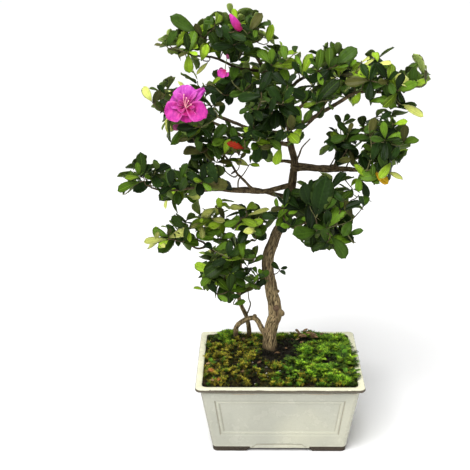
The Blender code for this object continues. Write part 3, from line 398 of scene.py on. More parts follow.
# Leaves that stand out by themselves: how far right and up in its mass's space the leaf springs, where it
# points, its length, width and tone
SINGLE_LEAVES = {
    "apex": (
        (-0.75, -0.05, (-0.8, 0.1, 0.55), 38, 15, "e"),
        (0.35, 0.1, (0.55, 0.2, 0.8), 24, 11, "b"),
    ),
    "flower": ((0.37, -0.3, (-0.9, -0.4, 0.05), 21, 10, "d"),),
    "top_left": ((0.7, -0.5, (-0.55, -0.4, -0.5), 20, 5, "l"),),
    "right_top_inner": ((0.1, 0.1, (0.75, 0.1, 0.65), 28, 16, "e"),),
    "right_top": (
        (-0.8, 0.4, (0.8, 0.1, 0.55), 24, 4, "l"),
        (-0.05, -0.6, (0.9, -0.1, -0.45), 27, 10, "l"),
    ),
    "right_mid": (
        (-0.62, -0.75, (0.35, -0.1, -0.9), 22, 9, "d"),
        (-0.72, -0.6, (0.0, -0.2, -1.0), 18, 9, "m"),
        (-0.35, -0.4, (0.75, -0.2, -0.6), 20, 11, "o"),
    ),
    "right_inner": ((-0.3, 0.1, (0.7, 0.1, 0.7), 34, 16, "e"),),
    "centre_front": (
        (0.3, -0.45, (0.45, -0.8, -0.25), 22, 12, "y"),
        (0.15, -0.85, (-0.3, -0.3, -0.9), 20, 10, "y"),
    ),
    "low_right": (
        (-0.5, 0.4, (-0.25, -0.2, 0.95), 30, 15, "d"),
        (-0.35, 0.2, (0.22, 0.1, 0.95), 46, 25, "d"),
        (-0.35, -0.1, (-0.8, -0.5, 0.1), 31, 18, "e"),
        (0.0, -0.2, (0.55, -0.2, -0.75), 30, 15, "e"),
    ),
    "left_mid": ((-0.4, -0.15, (-0.85, -0.2, 0.35), 21, 9, "r"),),
    "left_outer": (
        (-0.1, 0.3, (-0.1, 0.1, 0.95), 27, 12, "e"),
        (-0.2, 0.15, (-0.9, 0.0, -0.3), 28, 11, "m"),
    ),
    "stem_low": ((0.05, 0.75, (-0.8, -0.3, -0.5), 30, 20, "e"),),
    "stem_left": ((-0.2, 0.1, (-0.95, 0.0, -0.05), 28, 9, "l"),),
    "stem_top": (
        (0.2, -0.7, (-0.95, -0.1, 0.25), 28, 9, "m"),
        (0.3, 0.7, (-0.2, 0.0, 1.0), 16, 8, "y"),
    ),
    "stem_right": ((0.0, 0.6, (0.9, 0.0, 0.3), 26, 6, "l"),),
}
# Openings where sky shows through from the front: x, height and radius where they cross the plant's middle
OPENINGS = (
    (-150, 395, 17), (-122, 460, 12), (-120, 355, 11), (-135, 355, 8), (-168, 301, 12), (-150, 309, 9),
    (-85, 310, 5), (-140, 283, 10), (-120, 237, 9), (-110, 299, 6), (172, 427, 16), (132, 467, 11),
    (152, 426, 8), (150, 352, 9), (139, 344, 5), (90, 275, 6), (68, 414, 9), (52, 398, 8), (42, 380, 8),
    (34, 364, 8), (-34, 335, 6), (-51, 414, 6), (-16, 300, 9), (-86, 300, 7), (168, 470, 13),
    (60, 230, 9), (22, 253, 5), (-29, 170, 8), (-90, 178, 7), (190, 447, 12),
)
# Room kept in front of the bloom, the bud and the petals: x, height, radius and how far back it reaches
BLOSSOM_ROOM = ((-101, 432, 23, -45), (-56, 520, 11, -12), (-61, 461, 8, -24), (-59, 473, 6, -24))
EYE = np.array((-29.8, -1004.4, 640.8))  # the camera's place
# Small twigs that stand on the limbs: the limb, the width at the foot, the places that the twig runs
# through and the tones of the leaves at its end
SMALL_TWIGS = (
    ("second_stem", 2.2, ((-40, 54, 131), (-35, 48, 148), (-37, 44, 158), (-38, 38, 175)), ""),
    ("trunk", 1.8, ((-16, 10, 203), (-30, 4, 200), (-44, 8, 192)), "db"),
    ("bough_right_low", 2.6, ((19, 2, 351), (21, -8, 361), (24, -16, 372), (32, -22, 383)), ""),
    ("bough_right_low", 1.8, ((70, -14, 344), (72, -17, 336), (76, -20, 330), (81, -22, 325)), "yed"),
    ("bough_left_fork", 1.8, ((-53, -6, 334), (-62, -12, 342), (-65, -16, 352)), "yb"),
    ("bough_left_low", 1.8, ((-48, -8, 331), (-42, -14, 340), (-35, -18, 353)), "lym"),
    ("bough_left_fork", 1.6, ((-56, -6, 338), (-48, -18, 347), (-46, -22, 359)), "ylb"),
    ("bough_right_low", 1.8, ((56, -10, 348), (60, -16, 359), (61, -20, 369)), ""),
    ("bough_right_low", 1.8, ((73, -14, 346), (77, -18, 360), (75, -22, 375)), ""),
    ("bough_stem_left", 3.0, ((-87, 17, 240), (-98, 12, 239), (-108, 10, 246), (-116, 8, 256)), ""),
    ("trunk", 1.6, ((-8, 13, 205), (-3, 8, 208), (1, 7, 214)), "ded"),
)
STEM_STEP = 8.0
TWIG_STEP = 5.0
HUB_DROP = 0.25
STEM_LIFT = 0.3
BEND_REACH = 0.35
SHOOT_REACH = 0.72
SHOOT_RISE = 0.5
HIGHEST_SHOOT = 1.0
LOWEST_SHOOT = -0.85
LEAST_REACH = 0.3
TURN_STRAY = 0.3
TWIG_TURN = 0.6
TURN_BACK_COST = 0.35
BRANCH_SHARES = (0.2, 0.5, 0.8)
STEM_WIDTH = 3.4
STEM_TIP_WIDTH = 2.0
TWIG_WIDTH = 1.5
TWIG_TIP_WIDTH = 1.1
SPACE_SLACK = 1.1
LIMB_MARGIN = 0.8
FRONT_SHARE = 0.8  # how far towards the front of its space a spray stands
FAN_DEPTH = 0.6  # how far a front spray's leaves turn away from the open side
SMALL_LEAF = 17.0
TURN_TRIES = 5
LEAF_STRAY = 0.45  # how far a leaf that meets another is turned aside
FAN_STRAY = 0.42
FAN_OPENING = (108, 82, 12)  # degrees: shoot to lowest leaf, how much less at the top, how far it strays
FAN_LENGTHS = (0.75, 1.1)
FAN_WIDTHS = (0.85, 1.0)
SPRAY_LIFT = 0.5  # how far a front spray's shoot turns up
FILL_LIFT = 0.45
INNER_SHARE = 0.62  # how far out in the space the filling shoots reach
OUTER_SHARE = 1.04
WHORL_STRAY = 0.14
WHORL_OPENING = (88, 58, 10)
WHORL_LENGTHS = (0.85, 1.12)
FILL_STRAY = 5.0
HIDDEN_BACK, HIDDEN_DROP = 6, 3  # from a front spray's mirror place to the hidden one
WOOD_REACH = 20.0  # limbs farther than this from a mass's space are left out of its tests
STEM_SIDES = 8
TWIG_SIDES = 5
BROWN_TWIGS = 0.7  # the share of twigs that are brown, the others being green
FILL_SIZE = 0.92
MEETING_REACH = 38.0  # leaves whose middles lie farther apart can't meet
FACING = Vector((0, -0.75, 0.65))

# Leaves: places along a leaf and its half width there, then its columns and thickness
LEAF_ALONG = (0.0, 0.10, 0.25, 0.42, 0.60, 0.76, 0.89, 0.97, 1.0)
LEAF_HALVES = (0.10, 0.25, 0.57, 0.86, 1.0, 0.95, 0.70, 0.38, 0.10)
LEAF_COLUMNS = 5
LEAF_KINDS = 6
LEAF_BLADE = 0.014
LEAF_WIDTH = 0.5
LEAF_SHRINKS = (1, 0.85, 0.7)
SOCKETS = {
    "specular": "Specular IOR Level",
    "coat": "Coat Weight",
    "coat_roughness": "Coat Roughness",
    "sheen": "Sheen Weight",
}
TONES = "demylbro"  # dark, deep, mid, young, lime, bronze, red, orange-yellow
LIME = TONES.index("l")
PALE_BELOW = (3, 4)  # tones with the paler underside
RIMS = ((0.08, 0.13, 0.03), (0.12, 0.18, 0.035), (0.22, 0.30, 0.055), (0.44, 0.50, 0.14), (0.76, 0.75, 0.38))
VEINS = 62.0

# Blossom
BLOOM_MIDDLE = Vector((-101, -72, 431.7))
BLOOM_WAY = Vector((-0.1, -0.95, 0.3)).normalized()
# Petals of the bloom: angle, reach, width, how far they rise, cup and ruffle
BLOOM_PETALS = (
    (92, 0.98, 1.20, 0.22, 0.45, 1.0),
    (42, 1.20, 0.50, 0.30, 0.5, 1.6),
    (-26, 1.08, 1.05, 0.25, 0.6, 1.6),
    (-84, 0.74, 0.95, 0.15, 0.45, 1.6),
    (204, 1.08, 1.10, 0.18, 0.45, 1.2),
    (152, 0.80, 0.85, 0.20, 0.5, 1.2),
    (122, 0.50, 0.65, 0.75, 0.5, 1.0),
    (24, 0.46, 0.60, 0.70, 0.5, 1.2),
    (-62, 0.50, 0.75, 0.55, 0.5, 1.4),
    (188, 0.48, 0.65, 0.70, 0.5, 1.2),
)
# The closed flower: middle, the way it points, length and half width
BUD = (Vector((-50, -24, 510.5)), Vector((-0.55, -0.05, 0.84)).normalized(), 21, 4.1)
# Loose and fading petals: place, the way they point, size and finish
LOOSE_PETALS = (
    ((-60, -34, 462), (-0.75, -0.2, -0.6), 11, 0),
    ((-62, -34, 459), (0.7, -0.3, -0.5), 6, 0),
    ((-65, -33, 460), (0.0, -0.3, 0.9), 5, 3),
    ((-59, -32, 474), (0.2, -0.6, 0.5), 6, 3),
    ((-109, -66, 410), (-0.7, -0.3, -0.5), 8, 3),
)
LOOSE_FACING = Vector((0, -0.8, 0.5))
# Flower stalks: foot, end and width
STALKS = (
    ((-109, -42, 421), (-101, -67, 431), 2.0),
    ((-52, -4, 492), (-45, -23.5, 502), 1.8),
    ((-54, -14, 441), (-61, -33, 461), 1.2),
    ((-61, -33, 461), (-59, -32, 474), 1.0),
    ((-109, -42, 421), (-109, -66, 410), 1.2),
)
STAMENS = 4
PETAL_THICK = 0.35
PETAL_GRID = (9, 11)
BUD_GRID = (18, 24)

# Stage, in metres
FLOOR_SIDES = 64
FLOOR_RADIUS = 14.0
# Soft lights: name, place, size and power
SOFTBOXES = (
    ("key", (-0.8, -0.9, 1.3), 0.6, 5),
    ("fill", (1.0, -0.8, 0.8), 0.7, 1.2),
    ("top", (0.1, 0.3, 1.5), 0.7, 4),
)
LIGHT_AIM = (0, 0, 0.27)
DAYLIGHT = (-0.28, -0.55, 1.0)
WALL_FADE = {"From Min": 0.10, "From Max": 0.34, "To Min": 1.0, "To Max": 0.26}
EYE_TURN = (20.72, -1.31, -0.52)  # pitch, yaw and roll in degrees


class PotLooks(bpy.types.PropertyGroup):
    """Sizes and colours of the pot."""

    width: FloatProperty(
        name="Width", description="Width of the pot over its lip", default=0.2, unit="LENGTH"
    )
    depth: FloatProperty(
        name="Depth", description="Depth of the pot over its lip", default=0.152, unit="LENGTH"
    )
    height: FloatProperty(
        name="Height", description="Height of the pot from table to lip", default=0.096, unit="LENGTH"
    )
    glaze: FloatVectorProperty(
        name="Glaze", description="Ivory glaze of the body", default=(0.415, 0.415, 0.345), subtype="COLOR"
    )
    lip: FloatVectorProperty(
        name="Lip", description="Thinner glaze of the lip", default=(0.88, 0.86, 0.63), subtype="COLOR"
    )
    # Pooled glaze, which also paints shade in the grooves and under edges
    pooled_and_shaded: FloatVectorProperty(
        name="Pooled glaze", description="Glaze in the grooves", default=(0.22, 0.20, 0.14), subtype="COLOR"
    )
    clay: FloatVectorProperty(
        name="Clay", description="Bare clay of the feet", default=(0.044, 0.031, 0.019), subtype="COLOR"
    )


class SoilLooks(bpy.types.PropertyGroup):
    """Sizes and colours of the soil and its moss."""

    fronds: IntProperty(name="Fronds", description="Count of feathery moss fronds", default=5200)
    tufts: IntProperty(name="Tufts", description="Count of short moss tufts", default=13000)
    earth: FloatVectorProperty(
        name="Earth", description="Damp soil", default=(0.012, 0.009, 0.005), subtype="COLOR"
    )
    bright: FloatVectorProperty(
        name="Bright moss", description="Fresh moss", default=(0.33, 0.56, 0.03), subtype="COLOR"
    )
    olive: FloatVectorProperty(
        name="Olive moss", description="Dry moss", default=(0.42, 0.36, 0.030), subtype="COLOR"
    )


class BarkLooks(bpy.types.PropertyGroup):
    """Relief and colours of the bark."""

    fissure: FloatProperty(
        name="Fissure", description="Depth of the bark's fissures", default=0.0009, unit="LENGTH"
    )
    pale: FloatVectorProperty(
        name="Pale bark", description="Weathered plates", default=(0.315, 0.235, 0.118), subtype="COLOR"
    )
    dark: FloatVectorProperty(
        name="Dark bark", description="Cracks and young wood", default=(0.05, 0.035, 0.018), subtype="COLOR"
    )


class LeafLooks(bpy.types.PropertyGroup):
    """Sizes and colours of the leaves."""

    leaves: IntProperty(name="Leaves", description="Leaves on one spray", default=8)
    dark: FloatVectorProperty(
        name="Dark leaf", description="Oldest leaves", default=(0.011, 0.027, 0.004), subtype="COLOR"
    )
    deep: FloatVectorProperty(
        name="Deep leaf", description="Grown leaves", default=(0.029, 0.061, 0.006), subtype="COLOR"
    )
    mid: FloatVectorProperty(
        name="Mid leaf", description="This year's leaves", default=(0.088, 0.170, 0.011), subtype="COLOR"
    )
    young: FloatVectorProperty(
        name="Young leaf", description="Soft leaves", default=(0.21, 0.335, 0.018), subtype="COLOR"
    )
    lime: FloatVectorProperty(
        name="Lime leaf", description="Newest leaves", default=(0.46, 0.50, 0.12), subtype="COLOR"
    )


class BlossomLooks(bpy.types.PropertyGroup):
    """Sizes and colours of the blossom."""

    width: FloatProperty(name="Width", description="Width of the bloom", default=0.043, unit="LENGTH")
    petal: FloatVectorProperty(
        name="Petal", description="Petals", default=(0.50, 0.014, 0.29), subtype="COLOR"
    )
    throat: FloatVectorProperty(
        name="Throat", description="Throat of the bloom", default=(0.36, 0.004, 0.075), subtype="COLOR"
    )


class StageLooks(bpy.types.PropertyGroup):
    """Floor, light and camera."""

    floor: FloatVectorProperty(
        name="Floor", description="Pale floor", default=(0.96, 0.96, 0.962), subtype="COLOR"
    )
    lens: FloatProperty(name="Lens", description="Focal length in millimetres", default=69.73)


class Gathering:
    """Points and faces of many shapes that become one mesh."""

    def __init__(self):
        self.points, self.faces, self.finishes, self.marks = [], [], [], []
        self.count = 0

    def add(self, points, faces, finish=0, marks=(0.0, 0.0, 0.0)):
        """Add a shape. A face is four corners, and a triangle's last is -1. A point has three marks."""
        points = np.asarray(points, float).reshape(-1, 3)
        faces = np.asarray(faces, int)
        self.points.append(points)
        self.faces.append(np.where(faces < 0, -1, faces + self.count))
        self.finishes.append(np.broadcast_to(np.asarray(finish, int), len(faces)))
        self.marks.append(np.broadcast_to(np.asarray(marks, float), points.shape))
        self.count += len(points)

    def build(self, name, materials, nodes, slot):
        """The object, riding on the plant and standing for the frame's nodes."""
        points = np.concatenate(self.points) * TO_METRES
        faces = np.concatenate(self.faces)
        sizes = (faces >= 0).sum(axis=1)
        corners = faces[faces >= 0]
        mesh = bpy.data.meshes.new(name)
        mesh.vertices.add(len(points))
        mesh.vertices.foreach_set("co", points.ravel())
        mesh.loops.add(len(corners))
        mesh.loops.foreach_set("vertex_index", corners.astype(np.int32))
        mesh.polygons.add(len(faces))
        mesh.polygons.foreach_set("loop_start", (np.cumsum(sizes) - sizes).astype(np.int32))
        mesh.polygons.foreach_set("material_index", np.concatenate(self.finishes).astype(np.int32))
        mesh.polygons.foreach_set("use_smooth", np.ones(len(faces), bool))
        for material in materials:
            mesh.materials.append(material)
        mark = mesh.attributes.new("mark", "FLOAT_VECTOR", "POINT")
        mark.data.foreach_set("vector", np.concatenate(self.marks).astype(np.float32).ravel())
        mesh.update(calc_edges=True)
        made = show(name, mesh)
        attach(made, "root")
        if nodes:
            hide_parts(*nodes)


class Recipe:
    """A material with one Principled shader and the nodes that colour it."""

    def __init__(self, name, roughness, **numbers):
        self.material = bpy.data.materials.new(name)
        self.material.use_nodes = True
        self.tree = self.material.node_tree
        self.shader = self.tree.nodes["Principled BSDF"]
        self.shader.inputs["Roughness"].default_value = roughness
        for socket, number in numbers.items():
            self.shader.inputs[SOCKETS[socket]].default_value = number
        self.place = self.node("ShaderNodeTexCoord").outputs["Object"]

    def node(self, kind, inputs=None, **settings):
        """A node with its settings and inputs, which are numbers or other nodes' outputs."""
        made = self.tree.nodes.new(kind)
        for setting, value in settings.items():
            setattr(made, setting, value)
        for key, value in (inputs or {}).items():
            self.feed(made.inputs[key], value)
        return made

    def feed(self, socket, value):
        """Set a socket to a number or colour, or link it to an output."""
        if isinstance(value, bpy.types.NodeSocket):
            self.tree.links.new(value, socket)
        elif hasattr(value, "__len__") and len(value) == 3 and socket.type == "RGBA":
            socket.default_value = (*value, 1)
        else:
            socket.default_value = value

    def math(self, operation, first, second=0.0):
        return self.node("ShaderNodeMath", {0: first, 1: second}, operation=operation).outputs[0]

    def times(self, first, second):
        return self.math("MULTIPLY", first, second)

    def stretched(self, scale):
        """The place on the object, scaled unevenly."""
        return self.node("ShaderNodeMapping", {"Vector": self.place, "Scale": scale}).outputs[0]

    def noise(self, scale, detail=3.0, rough=0.55, vector=None):
        inputs = {"Vector": vector or self.place, "Scale": scale, "Detail": detail, "Roughness": rough}
        return self.node("ShaderNodeTexNoise", inputs).outputs["Fac"]

    def cells(self, scale, feature="F1"):
        inputs = {"Vector": self.place, "Scale": scale}
        return self.node("ShaderNodeTexVoronoi", inputs, feature=feature).outputs["Distance"]

    def mark(self, axis):
        """One of the three numbers kept at each point."""
        mark = self.node("ShaderNodeAttribute", attribute_name="mark")
        return self.node("ShaderNodeSeparateXYZ", {0: mark.outputs["Vector"]}).outputs[axis]

    def height(self):
        return self.node("ShaderNodeSeparateXYZ", {0: self.place}).outputs[2]

    def span(self, value, low, high, to_low=0.0, to_high=1.0):
        """A value's place between two limits, kept within them."""
        inputs = {"Value": value, "From Min": low, "From Max": high, "To Min": to_low, "To Max": to_high}
        settings = {"clamp": True, "interpolation_type": "SMOOTHSTEP"}
        return self.node("ShaderNodeMapRange", inputs, **settings).outputs[0]

    def band(self, value, base, edges):
        """1 between the middle two of four edges over a base, falling to 0 at the outer two."""
        start, full, fading, end = (base + edge for edge in edges)
        return self.times(self.span(value, start, full), self.span(value, fading, end, 1, 0))

    def mottled(self, share, paint, low, high):
        """A paint from a darker to a lighter shade of itself."""
        return self.mix(share, shaded(paint, low), shaded(paint, high))

    def mix(self, share, first, second):
        node = self.node("ShaderNodeMix", data_type="RGBA")
        self.feed(node.inputs[0], share)
        self.feed(node.inputs[6], first)
        self.feed(node.inputs[7], second)
        return node.outputs[2]

    def colour(self, value):
        self.feed(self.shader.inputs["Base Color"], value)

    def roughness(self, value):
        self.feed(self.shader.inputs["Roughness"], value)

    def bump(self, height, distance, strength=1.0):
        inputs = {"Height": height, "Strength": strength, "Distance": distance * TO_METRES}
        self.feed(self.shader.inputs["Normal"], self.node("ShaderNodeBump", inputs).outputs[0])


def show(name, data):
    """A new object in the scene."""
    made = bpy.data.objects.new(name, data)
    bpy.context.scene.collection.objects.link(made)
    return made


def shaded(colour, factor):
    """A colour made darker or lighter."""
    return tuple(min(1.0, channel * factor) for channel in colour)


def clip(value, low=0.0, high=1.0):
    """A value kept between two limits."""
    return max(low, min(high, value))


def fade(distance, reach):
    """1 at no distance, falling evenly to 0 at a reach."""
    return max(0.0, 1 - abs(distance) / reach)


def near(x, y, middle_x, middle_y, radius):
    """1 at a spot, falling to 0 at its radius."""
    return fade(math.hypot(x - middle_x, y - middle_y), radius)


def lumps(x, y, level, size):
    """Smooth random rise and fall over the ground."""
    return noise.noise(Vector((x, y, level)) / size)


def stray(draws, reach):
    """A small way drawn at random, up to a reach along each axis."""
    return Vector([draws.uniform(-reach, reach) for _ in range(3)])


def turns(count):
    """Even turns round a full circle."""
    return [2 * math.pi * k / count for k in range(count)]


def square_to(way, up):
    """Two directions square to a way: its side, and the one as near to up as can be."""
    side = way.cross(up).normalized()
    return side, side.cross(way).normalized()


def grid_rim(rows, columns):
    """The points round a grid, in order."""
    rim = list(range(columns - 1))
    rim += [row * columns + columns - 1 for row in range(rows - 1)]
    rim += [rows * columns - 1 - column for column in range(columns - 1)]
    rim += [row * columns for row in range(rows - 1, 0, -1)]
    return rim


def ring_faces(rings, sides, closed=True):
    """Quads between rings of points, each ring joined to the next."""
    faces = []
    for ring in range(rings - 1):
        low = ring * sides
        for side in range(sides if closed else sides - 1):
            after = (side + 1) % sides
            faces.append((low + side, low + after, low + sides + after, low + sides + side))
    return faces


def cap(points, first, sides, low):
    """A middle point and triangles that close a ring."""
    middle = len(points)
    points.append(sum((Vector(points[first + side]) for side in range(sides)), Vector()) / sides)
    faces = []
    for side in range(sides):
        after = (side + 1) % sides
        pair = (after, side) if low else (side, after)
        faces.append((first + pair[0], first + pair[1], middle, -1))
    return faces


def closed_tube(points, rings, sides):
    """Faces of a tube whose two ends are closed with middle points."""
    faces = ring_faces(rings, sides)
    faces += cap(points, 0, sides, True)
    faces += cap(points, (rings - 1) * sides, sides, False)
    return faces


def smooth_line(knots, step):
    """Evenly spaced places on a smooth curve through knots, each a vector of place and thickness."""
    knots = [np.array(knot, float) for knot in knots]
    knots = [2 * knots[0] - knots[1], *knots, 2 * knots[-1] - knots[-2]]
    fine = []
    for before, start, end, after in zip(knots, knots[1:], knots[2:], knots[3:]):
        for t in np.linspace(0, 1, 12, endpoint=False):
            bend = (2 * before - 5 * start + 4 * end - after) * t**2
            turn = (3 * start - before - 3 * end + after) * t**3
            fine.append(0.5 * (2 * start + (end - before) * t + bend + turn))
    fine.append(knots[-2])
    fine = np.array(fine)
    run = np.concatenate([[0], np.cumsum(np.linalg.norm(np.diff(fine[:, :3], axis=0), axis=1))])
    at = np.linspace(0, run[-1], max(2, round(run[-1] / step)) + 1)
    return np.stack([np.interp(at, run, fine[:, k]) for k in range(fine.shape[1])], axis=1)


def limb_place(limb, along):
    """Place, direction and thickness at a share of a limb's length."""
    at = along * (len(limb) - 1)
    low = min(int(at), len(limb) - 2)
    row = limb[low] + (limb[low + 1] - limb[low]) * (at - low)
    ahead = Vector(limb[low + 1][:3] - limb[low][:3]).normalized()
    return Vector(row[:3]), ahead, float(row[3])


def bough_line(name, bough, limbs):
    """A bough from inside its parent to its tip, sagging and wandering a little."""
    tip = Vector(bough.tip)
    inside, _, carrier_width = limb_place(limbs[bough.parent], bough.along)
    way = (tip - inside).normalized()
    collar = inside + way * (carrier_width / 2 + COLLAR)
    draws = random.Random(name)
    phase = draws.uniform(0, 2 * math.pi)
    side = (tip - collar).cross(UP).normalized()
    knots = [(*inside, bough.width * HIDDEN_WIDTH)]
    for step in range(BOUGH_KNOTS):
        t = step / (BOUGH_KNOTS - 1)
        away = math.sin(math.pi * t)
        place = collar.lerp(tip, t) - UP * bough.sag * away
        place += side * (GNARL * away * math.sin(phase + GNARL_TURNS * t))
        place += UP * (GNARL_RISE * away * math.cos(phase + GNARL_TURNS * t))
        width = bough.width + (bough.tip_width - bough.width) * t
        knots.append((*place, width * (COLLAR_WIDTH if step == 0 else 1.0)))
    return smooth_line(knots, 2.0)


def upright_line(rows, step):
    """A limb through rows of height, x, y and thickness."""
    return smooth_line([(x, y, height, width) for height, x, y, width in rows], step)


def frames(line, level_foot=False):
    """Place and two directions square to the line, for each of its rows."""
    places = [Vector(row[:3]) for row in line]
    across = None
    for k, place in enumerate(places):
        ahead = (places[min(k + 1, len(places) - 1)] - places[max(k - 1, 0)]).normalized()
        if k == 0 and level_foot:
            ahead = UP
        if across is None:
            across = ahead.orthogonal().normalized()
        across = (across - ahead * across.dot(ahead)).normalized()
        yield place, across, ahead.cross(across)


def bark_shape(gathering, line, sides, depth, seed, swell=None):
    """A limb with lumps, and with fissures that run along it."""
    points, marks = [], []
    run = 0.0
    before = None
    for row, (place, across, other) in zip(line, frames(line, swell is not None)):
        run += (place - before).length if before else 0.0
        before = place
        radius = row[3] / 2
        for turn in turns(sides):
            x, y = math.cos(turn), math.sin(turn)
            grain = Vector((x * radius / CRACK[0], y * radius / CRACK[0], run / CRACK[1] + seed))
            crack = 1 - min(1.0, abs(noise.noise(grain)) * CRACK_SHARPNESS)
            chip = Vector((x * radius / FLAKE[0], y * radius / FLAKE[0], run / FLAKE[1] + seed))
            flake = noise.noise(chip)
            lump = noise.noise(Vector((x * 1.1, y * 1.1, run / LUMP_LENGTH - seed)))
            wide = radius * (swell(place, turn) if swell else 1.0)
            wide += depth * (FLAKE_DEPTH * flake - crack) + LUMP_DEPTH * radius * lump
            points.append(place + (across * x + other * y) * wide)
            marks.append((crack, clip(radius / 7), 0.5 + flake))
    faces = closed_tube(points, len(line), sides)
    gathering.add(points, faces, 0, [*marks, marks[0], marks[-1]])


def knob(gathering, middle, size, seed, finish=0):
    """A rounded burr on the bark."""
    points = []
    rings, sides = KNOB_GRID
    for ring in range(rings):
        tilt = math.pi * (ring + 0.5) / rings
        for turn in turns(sides):
            out = Vector((math.sin(tilt) * math.cos(turn), math.sin(tilt) * math.sin(turn), math.cos(tilt)))
            reach = 1 + 0.3 * noise.noise(out * 2 + Vector((seed, 0, 0)))
            points.append(Vector(middle) + Vector([out[k] * size[k] * reach for k in range(3)]))
    faces = [face[::-1] for face in ring_faces(rings, sides)]
    faces += cap(points, 0, sides, False)
    faces += cap(points, (rings - 1) * sides, sides, True)
    gathering.add(points, faces, finish, (0.35, 0.7, 0.4))


def bark_material(looks, name="fissured_bark"):
    """Tan bark in long pale plates with dark fissures, darker higher up and on thin twigs."""
    r = Recipe(name, 0.85, specular=0.2)
    grain = r.noise(420, 5, 0.65, r.stretched((1, 1, 0.2)))
    patch = r.noise(55, 3)
    plate = r.mottled(r.span(grain, 0.34, 0.64), looks.pale, 0.34, 1.45)
    plate = r.mix(r.span(patch, 0.5, 0.72), plate, STAINED_BARK)
    plate = r.mix(r.span(r.height(), 0.14, 0.28, 0.0, 0.66), plate, looks.dark)
    plate = r.mix(r.span(r.height(), 0.100, 0.113, 0.85, 0.0), plate, shaded(looks.dark, 0.5))
    thin = r.span(r.mark(1), 0.12, 0.36)
    wood = r.mix(thin, r.mix(r.span(grain, 0.35, 0.7), looks.dark, shaded(looks.pale, 0.42)), plate)
    wood = r.mix(r.span(r.mark(0), 0.1, 0.8, 0.0, 0.92), wood, shaded(looks.dark, 0.7))
    r.colour(wood)
    r.bump(r.math("ADD", grain, r.noise(1500, 2)), 0.45)
    return r.material


def plain_finish(name, colour, roughness, scale=400, depth=0.2, spread=0.35, **numbers):
    """A finish that is lightly mottled and grained."""
    r = Recipe(name, roughness, **numbers)
    mottle = r.noise(scale, 4)
    r.colour(r.mottled(r.span(mottle, 0.3, 0.7), colour, 1 - spread, 1 + spread))
    r.bump(mottle, depth)
    return r.material


